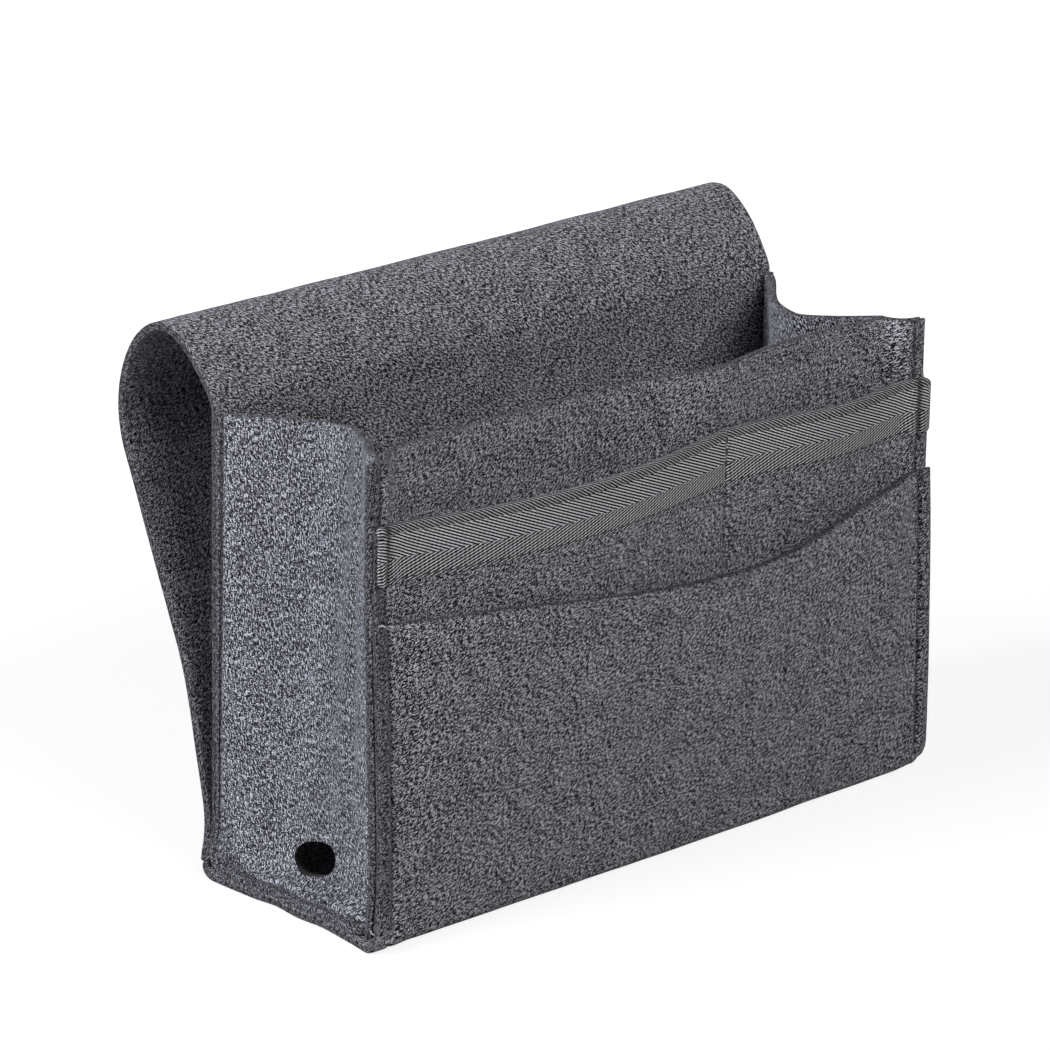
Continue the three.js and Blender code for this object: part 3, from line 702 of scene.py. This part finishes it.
def build_strip():
    columns = panel_columns(HALF_WIDTH)
    curves = [flap_curves(c) for c in columns]
    rows = []

    def flap_row(curve, share):
        spots = np.array([bezier(c[curve], share) for c in curves])
        narrow = 1 - TAIL_NARROW * (1 - smooth(spots[:, 1] / 60)) * (columns < 0)
        near_root = 1 - smooth((spots[:, 1] - BACK_TOP) / 10)
        if curve == "front":
            spots[:, 0] -= BACK_PRESS * edge_squeeze(columns) * near_root
        x = columns * narrow * back_edge(columns, spots[:, 1]) / HALF_WIDTH
        end_z = mix(*TAIL_Z, (columns + HALF_WIDTH) / (2 * HALF_WIDTH))
        short = np.maximum(0, TAIL_CORNER - (spots[:, 1] - end_z))
        inset = TAIL_CORNER - np.sqrt(TAIL_CORNER ** 2 - short ** 2)
        x -= np.sign(x) * inset * clamp01((np.abs(columns) - SEAM_X) / (HALF_WIDTH - SEAM_X))
        rows.append(np.column_stack([x, spots]))

    for curve, count in (("tail", 24), ("run", 16), ("back", 34)):
        for share in np.linspace(1, 0, count, endpoint=False):
            flap_row(curve, share)
    for step in np.linspace(1, 0, 16):
        flap_row("front", mix(BEND_SPLIT, 1, step ** 2))
    bend_row = len(rows) - 1
    for step in np.linspace(0, 1, 17)[1:]:
        flap_row("front", mix(BEND_SPLIT, 0, step ** 2))
    root_row = len(rows) - 1

    def flat_row(y, z, far=1e3):
        rows.append(np.column_stack([edge_x(columns, far), y + 0 * columns, z + 0 * columns]))

    def back_row(z):
        flat_row(BACK_Y - BACK_PRESS * edge_squeeze(columns), z)
        rows[-1][:, 0] *= back_edge(columns, z) / HALF_WIDTH

    for step in np.linspace(1, 0, 16)[1:]:
        back_row(mix(STRIP_SPLIT_Z, BACK_TOP, step ** 2))
    split_row = len(rows) - 1
    back_fold_z = BOTTOM_Z + BACK_FOLD
    for drop in (0.12, 0.4, 1.0, 2.2):
        back_row(STRIP_SPLIT_Z - drop)
    for z in np.linspace(STRIP_SPLIT_Z, back_fold_z, 36)[1:]:
        back_row(z)
    fold_row = len(rows) - 1
    for angle in np.linspace(np.pi / 2, 0, 7)[1:]:
        flat_row(BACK_Y - BACK_FOLD * (1 - math.sin(angle)), BOTTOM_Z + BACK_FOLD * (1 - math.cos(angle)))
    bottom_row = len(rows) - 1
    half_fold = FRONT_FOLD * np.pi / 4
    front_y = OUTER_Y + FRONT_FOLD
    for y in np.linspace(BACK_Y - BACK_FOLD, front_y, 26)[1:]:
        flat_row(y, BOTTOM_Z, half_fold + y - front_y)
    floor_row = len(rows) - 1
    for angle in np.linspace(0, np.pi / 2, 8)[1:]:
        y = OUTER_Y + FRONT_FOLD * (1 - math.sin(angle))
        z = BOTTOM_Z + FRONT_FOLD * (1 - math.cos(angle))
        pressed = (OUTER_HEM_Y - OUTER_Y) * squeeze(columns) * angle / (np.pi / 2)
        flat_row(y + pressed, z, FRONT_FOLD * abs(angle - np.pi / 4))
    front_row = len(rows) - 1
    fold_z = BOTTOM_Z + FRONT_FOLD
    for share in np.linspace(0, 1, 44)[1:]:
        z = mix(fold_z, outer_top(columns), share)
        x = edge_x(columns, half_fold + z - fold_z)
        rows.append(np.column_stack([x, outer_y(x, z), z]))
    points = handmade(np.array(rows))

    middle = points[:, len(columns) // 2]
    length = np.concatenate([[0], np.cumsum(np.linalg.norm(np.diff(middle, axis=0), axis=1))])
    uv = np.stack(np.broadcast_arrays(columns[None, :], length[:, None]), axis=-1)
    steps = np.arange(len(rows))
    seam = np.where(steps > front_row, SEAM_X, FLANGE_SEAM_X)[:, None]
    sunk = -GROOVE * groove(points[..., 0], seam)
    sunk[:root_row + 2] = 0
    at_front = clamp01((steps - floor_row) / (front_row - floor_row))
    at_back = clamp01((steps - bend_row) / (root_row - bend_row))
    at_back *= clamp01((bottom_row - steps) / (bottom_row - fold_row))
    pressed = thinned(columns)[None, :] * at_front[:, None]
    pressed = pressed - BACK_PRESS * edge_squeeze(columns)[None, :] * at_back[:, None]
    sunk += pressed
    sunk[front_row:] += FLANGE_PUFF * puff(columns)
    # Painted shade on the outer pocket's flanges and along its seam grooves
    shade = painted_flange_shade(columns)[None, :] * (steps > front_row)[:, None]

    def piece(name, start, stop, joined_rows, wave):
        cut = slice(start, stop + 1)
        part = points[cut]
        count = part.shape[0]
        quads = grid_quads(count, len(columns))
        flat = wobble(part.reshape(-1, 3), quads, wave, 34, start).reshape(count, -1, 3)
        joined = np.zeros((count, len(columns)), bool)
        for row in joined_rows:
            joined[row] = True
            run = np.abs(length[cut] - length[cut][row])
            flat = mix(part, flat, smooth(run / 30)[:, None, None])
        flat[..., 2] = np.maximum(flat[..., 2], np.minimum(part[..., 2], BOTTOM_Z))
        flat = flat.reshape(-1, 3)
        return cloth(name, flat, quads, uv[cut].reshape(-1, 2), felt, top=sunk[cut].ravel(),
                     bottom=pressed[cut].ravel(), shade=shade[cut].ravel(), joined=joined.ravel())

    flap = piece("flap", 0, bend_row, [-1], 0.5)
    root = piece("flap_root", bend_row, split_row, [0, -1], 0)
    strip = piece("outer_strip", split_row, len(rows) - 1, [0], 0.25)
    return flap, root, strip, length[[bend_row, split_row]], length[-1]


flap, flap_root, outer_strip, splits, strip_length = build_strip()


# Front wall, middle pocket and its binding tape

def build_panel(name, columns, heights, y_at, wave, seed, is_pocket=False, droop=0.0):
    """A front panel on a grid: the middle pocket, bound by the tape, or the wall behind it."""
    x, z = np.meshgrid(columns, heights)
    z -= droop * edge_squeeze(x) * clamp01(z / heights[-1]) ** 4
    if is_pocket:
        x = np.stack([edge_x(columns, h) for h in heights])
    points = handmade(np.stack([x, y_at(x, z), z], axis=-1)).reshape(-1, 3)
    quads = grid_quads(len(heights), len(columns))
    uv = np.stack([x, z], axis=-1).reshape(-1, 2)
    bound = clamp01((z - MIDDLE_TOP + TAPE_DROP) / 5) if is_pocket else 0
    pressed = np.maximum(thinned(x) - BOUND_PRESS * bound, -(FELT - HEM) / 2).ravel()
    sunk = pressed - 0.5 * GROOVE * groove(x, SEAM_X).ravel()
    if not is_pocket:
        behind_pocket = 1 - smooth((z - MIDDLE_TOP) / 3)
        sunk += (FLANGE_FILL * smooth((np.abs(x) - FLANGE_SEAM_X) / 1.5) * behind_pocket).ravel()
    # The flanges and the seam grooves get painted shade
    return cloth(name, wobble(points, quads, wave, 40, seed), quads, uv, felt, top=sunk, bottom=pressed,
                 shade=painted_flange_shade(x).ravel())


wall_columns = panel_columns(WALL_HALF_WIDTH)
wall_heights = np.linspace(BOTTOM_Z + FELT, WALL_TOP, 50)
wall = build_panel("wall_felt", wall_columns, wall_heights, wall_y, 0.3, 3, droop=WALL_DROOP)
pocket_columns = panel_columns(HALF_WIDTH, divider=True)
pocket_flange = np.where(pocket_columns < 0, *POCKET_FLANGES) / (HALF_WIDTH - SEAM_X)
pocket_beyond = np.maximum(0, np.abs(pocket_columns) - SEAM_X)
pocket_columns -= np.sign(pocket_columns) * pocket_beyond * (1 - pocket_flange)
pocket_heights = np.linspace(POCKET_FOOT, MIDDLE_TOP, 46)
pocket = build_panel("middle_pocket_felt", pocket_columns, pocket_heights, middle_y, 0, 5, is_pocket=True)


def middle_frame(x, z):
    """A point of the middle pocket's middle surface and the direction out of its front."""
    step = 0.5
    point = handmade(np.stack([x, middle_y(x, z), z], axis=-1))
    across = (middle_y(x + step, z) - middle_y(x - step, z)) / (2 * step)
    up = (middle_y(x, z + step) - middle_y(x, z - step)) / (2 * step)
    return point, unit(np.stack([across, -np.ones_like(x), up], axis=-1))


def build_tape(columns):
    core = np.maximum(FELT / 2 + thinned(columns) - BOUND_PRESS, HEM / 2)
    out = core + GAP + TAPE / 2
    ends = np.where(columns < 0, columns[0], columns[-1])
    puffed = puff(np.abs(columns / ends) * HALF_WIDTH) * (np.abs(columns) > SEAM_X)
    dent = 0.5 * GROOVE * groove(columns, SEAM_X) - 0.9 * puffed
    drops = np.linspace(TAPE_DROP, 0, 14)
    section = [(drop, 1.0, 0.0, drop) for drop in drops]
    for angle in np.linspace(0, np.pi, 11)[1:-1]:
        section.append((0, math.cos(angle), 1.1 * math.sin(angle), -1.5 * angle))
    section += [(drop, -1.0, 0.0, -1.5 * np.pi - drop) for drop in drops[::-1]]
    end = smooth((np.abs(columns) - np.abs(ends) + 3.5) / 3.5) ** 2
    rows, uvs = [], []
    for drop, side, lift, down in section:
        drawn = mix(drop, mix(drop, TAPE_DROP / 2, 0.12), end)
        short = 3 / 7 * clamp01((0.5 - side) / 1.5) * np.maximum(0, np.abs(columns) - SEAM_X)
        point, normal = middle_frame(columns - np.sign(columns) * short, MIDDLE_TOP - drawn)
        offset = side * (out - dent) if side > 0 else side * out
        row = point + normal * offset[:, None]
        row[:, 2] += lift * (1 - 0.5 * end)
        rows.append(row)
        uvs.append(np.column_stack([columns, np.full_like(columns, down)]))
    points = np.array(rows).reshape(-1, 3)
    quads = grid_quads(len(rows), len(columns))
    # Painted shade in the crease where the tape is sewn at each seam
    crease_painted_shade = np.tile(groove(columns, SEAM_X - 0.4, 1.5), len(rows))
    return cloth("binding_tape", points, quads, np.array(uvs).reshape(-1, 2), tape, thickness=TAPE, rim=0.3,
                 shade=crease_painted_shade)


binding = build_tape(pocket_columns)


# Side panels: their edges turn outward into flanges
SIDE_FINE_Z = 42  # below it the panel's rows are closer together
FOOT_SPREAD = 1.6  # how far out the panel's front edge stands at the foot
CORNER_PUSH = 1.9  # how far the flange is pushed out at the rounded corners


def build_side(name, sign, bow_depth, bow_y, crease, seed):
    """A side panel that bows inward, with flanges along its front, bottom and back."""
    lowest = SIDE_BOTTOM_Z + SIDE_ROUND
    fine = np.linspace(SIDE_FINE_Z, lowest, 24)[1:]
    levels = np.concatenate([np.linspace(SIDE_TOP, SIDE_FINE_Z, 50), fine])
    thin = (FELT - HEM) / 2

    # The border from the top down. Each place is its y and z, the way in, x of the panel, x of the flange's
    # edge, the turn's radius, how far it is pressed and how far it is pushed out.
    front = []
    for z in levels:
        grown = clamp01((z - FRONT_TURN_Z[0]) / (FRONT_TURN_Z[1] - FRONT_TURN_Z[0]))
        root = SIDE_X + FOOT_SPREAD * (1 - smooth((z - lowest) / 20))
        front.append((SIDE_FRONT_Y, z, (1, 0), root, FRONT_EDGE, mix(TURN, FRONT_TURN, grown), thin, 0))
    back = []
    for z in levels:
        edge = back_edge(sign, z)
        root = BACK_SIDE_X + BACK_LEAN * (1 - z / SIDE_TOP) - (HALF_WIDTH - edge)
        back.append((SIDE_BACK_Y + BACK_SHIFT, z, (-1, 0), root, edge, BACK_TURN, BACK_PRESS, 0))
    for share in np.linspace(0, 1, 9)[1:]:
        across, drop = math.cos(share * np.pi / 2), math.sin(share * np.pi / 2)
        far = SIDE_ROUND * abs(share - 0.5) * np.pi / 2
        edge = HALF_WIDTH - SIDE_CORNER + math.sqrt(SIDE_CORNER ** 2 - max(0, SIDE_CORNER - far) ** 2)
        z = SIDE_BOTTOM_Z + SIDE_ROUND * (1 - drop)
        inset = SIDE_ROUND * (1 - across)
        push = CORNER_PUSH * math.sin(share * np.pi)
        root = mix(SIDE_X + FOOT_SPREAD, BOTTOM_SIDE_X, share)
        front.append((SIDE_FRONT_Y + inset, z, (across, drop), root, mix(FRONT_EDGE, edge, share),
                      mix(TURN, BOTTOM_TURN, share), thin * (1 - share), push))
        root = mix(BACK_SIDE_X + BACK_LEAN, BOTTOM_SIDE_X, share)
        y = SIDE_BACK_Y + BACK_SHIFT * (1 - share) - inset
        back.append((y, z, (-across, drop), root, max(edge, root + 3),
                     mix(BACK_TURN, BOTTOM_TURN, share), BACK_PRESS * (1 - share), push))

    def bow_at(y, z):
        half = np.where(y < bow_y, bow_y - SIDE_FRONT_Y - FRONT_TURN, SIDE_BACK_Y - BACK_TURN - bow_y)
        across = np.maximum(0, 1 - np.sqrt(((y - bow_y) / half) ** 2 + 0.004) ** BOW_POWER)
        up = clamp01((z - SIDE_BOTTOM_Z) / (SIDE_TOP - SIDE_BOTTOM_Z))
        return bow_depth * across * up + crease(y, z)

    shares = np.linspace(0, 1, 61)
    points = []
    for (y0, z0, in0, root0, _, turn0, _, _), (y1, z1, in1, root1, _, turn1, _, _) in zip(front, back):
        y = mix(y0 + in0[0] * turn0, y1 + in1[0] * turn1, shares)
        z = mix(z0 + in0[1] * turn0, z1 + in1[1] * turn1, shares)
        x = mix(root0, root1, smooth((shares - 0.55) / 0.45)) - bow_at(y, z)
        points += np.column_stack([sign * x, y, z]).tolist()
    width, last = len(shares), len(front) - 1
    grid = np.array(points).reshape(len(front), width, 3)
    spread = np.zeros((len(front), width, 2))
    spread[:, 1:, 0] = np.linalg.norm(np.diff(grid, axis=1), axis=2).cumsum(axis=1)
    spread[1:, :, 1] = -np.linalg.norm(np.diff(grid, axis=0), axis=2).cumsum(axis=0)
    uv = spread.reshape(-1, 2).tolist()
    quads = grid_quads(len(front), width).tolist()

    border = [(i * width, front[i]) for i in range(len(front))]
    for i, share in enumerate(shares[1:-1], 1):
        y = mix(front[last][0], back[last][0], share)
        place = (y, SIDE_BOTTOM_Z, (0, 1), BOTTOM_SIDE_X, HALF_WIDTH, BOTTOM_TURN, 0, 0)
        border.append((last * width + i, place))
    border += [(i * width + width - 1, back[i]) for i in reversed(range(len(back)))]
    angles = np.linspace(0, np.pi / 2, 7)[1:]
    previous = None
    pressed = [0.0] * len(points)
    for index, (y, z, inward, root, edge, turn, press, push) in border:
        ring = [index]
        places = []
        for a in angles:
            share = a / angles[-1]
            offset = turn * (1 - math.sin(a)) - push * share ** 2
            places.append((offset, root + turn * (1 - math.cos(a)), turn * a, share))
        for share in (0.33, 0.66, 1.0):
            run = turn * np.pi / 2 + share * (edge - root - turn)
            places.append((-push, mix(root + turn, edge, share), run, 1.0))
        base = np.array(uv[index])
        for offset, x, run, share in places:
            ring.append(len(points))
            points.append([sign * x, y + inward[0] * offset, z + inward[1] * offset])
            uv.append((base - np.array(inward) * run).tolist())
            pressed.append(-press * share)
        if previous:
            for k in range(len(ring) - 1):
                quads.append([previous[k], ring[k], ring[k + 1], previous[k + 1]])
        previous = ring
    points = handmade(np.array(points))
    quads = np.array(quads)
    if sign < 0:
        quads = quads[:, ::-1]
    free = clamp01((SIDE_X - np.abs(points[:, 0])) / 3 + 0.15)
    shift = surface_normals(points, quads) * (0.7 * free * noise_at(points, 22, seed))[:, None]
    pressed = np.array(pressed)
    y, z = points[:, 1], points[:, 2]
    # Painted shade: the flanges beyond the seam, darkest at the foot, and the panel towards its front
    flange = mix(0.85, 0.3, smooth(z / 30)) * smooth((np.abs(points[:, 0]) - SEAM_X - 3) / 2)
    painted_front_shade = 0.3 * smooth((14 - y) / 18) * (1 - 0.6 * smooth((-y - 16) / 12))
    shade = np.maximum(flange, painted_front_shade)
    return cloth(name, points + shift, quads, np.array(uv), side_felt, top=pressed, bottom=pressed,
                 shade=shade, edge_shade=0.75)


def left_crease(y, z):
    """A soft upright crease in the left panel, with a low ridge behind it."""
    tall = smooth((z - 25) / 50)
    return tall * (1.5 * np.exp(-((y + 19) / 3.2) ** 2) - 0.9 * np.exp(-((y + 12) / 4) ** 2))


left_side = build_side("left_side_felt", -1, 16.4, -3, left_crease, 11)
right_side = build_side("right_side_felt", 1, 27, -6, lambda y, z: 0, 17)

# The cable hole, a slightly uneven oval cut through the left panel
HOLE_Y = -2.2
HOLE_Z = 20.8
HOLE_LENGTH = 24.2
HOLE_HEIGHT = 13.9
HOLE_TILT = -13  # degrees
HOLE_POWER = 0.84  # 1 is an ellipse, less is squarer
HOLE_SIDES = 44
HOLE_PAINTED_SHADE = 1.4  # painted shade that turns its cut wall black


def cut_hole(panel):
    turn = math.radians(HOLE_TILT)
    ring = []
    for i in range(HOLE_SIDES):
        angle = 2 * math.pi * i / HOLE_SIDES
        across, up = (math.copysign(abs(v) ** HOLE_POWER, v) for v in (math.cos(angle), math.sin(angle)))
        size = 0.985 + 0.015 * math.sin(3 * angle + 2)
        a, b = size * HOLE_LENGTH / 2 * across, size * HOLE_HEIGHT / 2 * up
        y = HOLE_Y + a * math.cos(turn) - b * math.sin(turn)
        ring.append((y, HOLE_Z + a * math.sin(turn) + b * math.cos(turn)))
    vertices = [(x, y, z) for x in (-165, -115) for y, z in ring]
    n = HOLE_SIDES
    faces = [[i, (i + 1) % n, n + (i + 1) % n, n + i] for i in range(n)]
    faces += [list(reversed(range(n))), list(range(n, 2 * n))]
    uvs = [(i, k) for face in faces for k, i in enumerate(face)]
    # The cutter's mark goes over to the hole's cut wall as painted shade
    cutter = add_object("hole_cutter", vertices, faces, uvs, np.full(2 * n, HOLE_PAINTED_SHADE), side_felt)
    cut = panel.modifiers.new("hole", "BOOLEAN")
    cut.operation = "DIFFERENCE"
    cut.object = cutter
    cut.solver = "EXACT"
    bpy.context.view_layer.update()
    shape = bpy.data.meshes.new_from_object(panel.evaluated_get(bpy.context.evaluated_depsgraph_get()))
    panel.modifiers.clear()
    panel.data = shape
    bpy.data.objects.remove(cutter)


cut_hole(left_side)


# Stitches

def front_seam_path(x):
    """A seam down the front of the stacked layers, and the direction out of the felt."""
    places = []
    for z in np.linspace(WALL_TOP - 3, MIDDLE_TOP + 4, 8):
        places.append((wall_y(np.array(x), z) - HEM / 2 + GROOVE, z))
    for z in np.linspace(MIDDLE_TOP - 1, OUTER_TOP + 3, 16):
        proud = HEM / 2 - GROOVE + (GAP + TAPE if z > MIDDLE_TOP - TAPE_DROP else 0)
        places.append((middle_y(np.array(x), z) - proud, z))
    for z in np.linspace(OUTER_TOP - 1, 8, 40):
        places.append((outer_y(np.array(x), z) - HEM / 2 + GROOVE, z))
    path = np.array([(x, float(y), z) for y, z in places])
    return handmade(path), (0, -1, 0)


def line(start, stop):
    return np.linspace(start, stop, 30)


def add_seam(name, runs, extra=()):
    """The stitches of one seam, in the place of its solid."""
    tubes = list(extra)
    for path, normal in runs:
        tubes += stitches(path, np.broadcast_to(normal, path.shape))
    obj = thread_object(f"{name}_stitches", tubes, len(extra))
    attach(obj, "caddy")
    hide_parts(f"{name}_seam")


def loose_end(path):
    path = np.array(path, float)
    return path, np.full(len(path), 0.3)


LOOSE_ENDS = {
    "left": [
        loose_end([(-156.5, -48, 10), (-158.5, -50, 9), (-159.5, -52.5, 8.2), (-158.5, -55.5, 7.0),
                   (-156.5, -57.5, 6.0)]),
        loose_end([(-154.5, -49, 134.6), (-154, -51, 135.6), (-152.6, -52, 134.6), (-151.4, -51.4, 133.6)]),
        loose_end([(-151, -51, 134.5), (-150.2, -52.4, 135), (-149.4, -52.2, 132.5)]),
    ],
    "right": [],
}
for side, sign in (("left", -1), ("right", 1)):
    add_seam(f"front_{side}", [front_seam_path(sign * SEAM_X)], LOOSE_ENDS[side])
    x = sign * FLANGE_SEAM_X
    inner_y = SIDE_BACK_Y + BACK_SHIFT - FELT / 2 + BACK_PRESS
    outer_face = BACK_Y + FELT / 2 - 2 * BACK_PRESS - GROOVE
    inner_x = sign * back_edge(sign, 100) - sign * 1.5
    add_seam(f"back_{side}", [
        (line((inner_x, inner_y, 16), (inner_x, inner_y, SIDE_TOP - 3)), (0, -1, 0)),
        (line((x, outer_face, 16), (x, outer_face, SIDE_TOP - 3)), (0, 1, 0))])
    upper_z, lower_z = SIDE_BOTTOM_Z + FELT / 2, BOTTOM_Z - FELT / 2 + GROOVE
    runs = []
    for z, up in ((upper_z, 1), (lower_z, -1)):
        path = handmade(line((x, SIDE_FRONT_Y + 12, z), (x, SIDE_BACK_Y - 8, z)))
        runs.append((path, (0, 0, up)))
    add_seam(f"bottom_{side}", runs)

x = np.full(40, DIVIDER_X)
z = np.linspace(MIDDLE_TOP - 1, 22, 40)
spots, normals = middle_frame(x, z)
proud = np.where(z > MIDDLE_TOP - TAPE_DROP, FELT / 2 + GAP + TAPE, FELT / 2)
add_seam("divider", [(spots + normals * proud[:, None], normals)])
CROSSING = 2.5  # room that the tape's seam leaves at the seams across it
for side, start, stop in (("left", -SEAM_X, DIVIDER_X), ("right", DIVIDER_X, SEAM_X)):
    x = np.linspace(start + CROSSING, stop - CROSSING, 60)
    spots, normals = middle_frame(x, np.full_like(x, MIDDLE_TOP - TAPE_DROP + 2))
    proud = FELT / 2 + thinned(x) + GAP + TAPE
    add_seam(f"binding_{side}", [(spots + normals * proud[:, None], normals)])


# What each piece is, moves with and stands for
for obj, nodes, slot in (
    (outer_strip, ("outer_pocket", "bottom_panel", "back_panel"), "felt"),
    (flap_root, ("back_panel", "flap_bend"), "felt"),
    (flap, ("flap_bend", "flap_tail"), "felt"),
    (wall, ("front_wall",), "felt"),
    (pocket, ("middle_pocket",), "felt"),
    (binding, ("pocket_binding",), "tape"),
    (left_side, ("left_side_panel",), "side_felt"),
    (right_side, ("right_side_panel",), "side_felt"),
):
    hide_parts(*nodes)
for obj in (outer_strip, wall, pocket, binding, left_side, right_side):
    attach(obj, "caddy")
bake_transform(flap_root)
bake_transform(flap)


# Floor, light and camera

def add_floor():
    """A white floor: the camera sees it glow, and the felt gets a dimmer light back from it."""
    mesh = bpy.data.meshes.new("floor")
    size = 6.0
    corners = [(-size, -size, 0), (size, -size, 0), (size, size, 0), (-size, size, 0)]
    mesh.from_pydata(corners, [], [[0, 1, 2, 3]])
    tree = Tree("floor")
    tree.nodes.clear()
    place = tree.add("NewGeometry").outputs["Position"]
    reach = tree.add("VectorMath", {0: place}, operation="LENGTH").outputs["Value"]
    glow = tree.add("Emission", {"Strength": tree.remap(reach, 0.3, 0.7, 0.83, 0.99)})
    seen = tree.add("BsdfDiffuse", {"Color": (0.22, 0.22, 0.22, 1)})
    bright = tree.add("AddShader", {0: seen.outputs[0], 1: glow.outputs[0]})
    plain = tree.add("BsdfDiffuse", {"Color": (0.38, 0.38, 0.38, 1)})
    tree.split("OutputMaterial", plain, bright)
    mesh.materials.append(tree.owner)
    floor = new_object("floor", mesh)


def add_world():
    """A white background for the camera and a weak bluish fill light for the rest."""
    tree = Tree("studio", bpy.data.worlds)
    bpy.context.scene.world = tree.owner
    tree.nodes.clear()
    fill = tree.add("Background", {"Color": (0.85, 0.88, 1, 1), "Strength": 0.11})
    white = tree.add("Background", {"Color": (1, 1, 1, 1)})
    tree.split("OutputWorld", fill, white)


def add_light(name, place, target, size, power, colour):
    data = bpy.data.lights.new(name, "AREA")
    data.shape = "RECTANGLE"
    data.size, data.size_y = size
    data.energy = power
    data.color = colour
    light = new_object(name, data)
    light.location = place
    light.rotation_euler = (Vector(target) - Vector(place)).to_track_quat("-Z", "Y").to_euler()


FOCAL_PIXELS = 5842
FRAME_PIXELS = 1050
SENSOR = 36


def add_camera():
    """The camera as it was fitted to the photograph."""
    azimuth, elevation, roll = (math.radians(a) for a in (-43.3, 18.8, 1.0))
    distance = 2.411
    level = math.cos(elevation)
    back = Vector((math.sin(azimuth) * level, -math.cos(azimuth) * level, math.sin(elevation)))
    right = Vector((math.cos(azimuth), math.sin(azimuth), 0))
    up = back.cross(right)
    target = Vector((0, 0, 0.111)) - 0.0226 * right + 0.0174 * up
    tilted_right = math.cos(roll) * right + math.sin(roll) * up
    tilted_up = math.cos(roll) * up - math.sin(roll) * right
    turn = Matrix((tilted_right, tilted_up, back)).transposed()
    data = bpy.data.cameras.new("camera")
    data.sensor_width = SENSOR
    data.lens = FOCAL_PIXELS / FRAME_PIXELS * SENSOR
    data.clip_end = 100
    camera = new_object("camera", data)
    camera.matrix_world = Matrix.Translation(target + back * distance) @ turn.to_4x4()
    bpy.context.scene.camera = camera


add_floor()
add_world()
add_light("key", (-2.6, 0.55, 1.4), (0, 0, 0.1), (1.1, 1.4), 103, (0.93, 0.95, 1.0))
add_light("front", (-0.1, -2.0, 1.75), (0, 0, 0.1), (1.8, 1.4), 42, (1, 0.99, 0.99))
add_camera()
bpy.context.scene.view_settings.view_transform = "Standard"
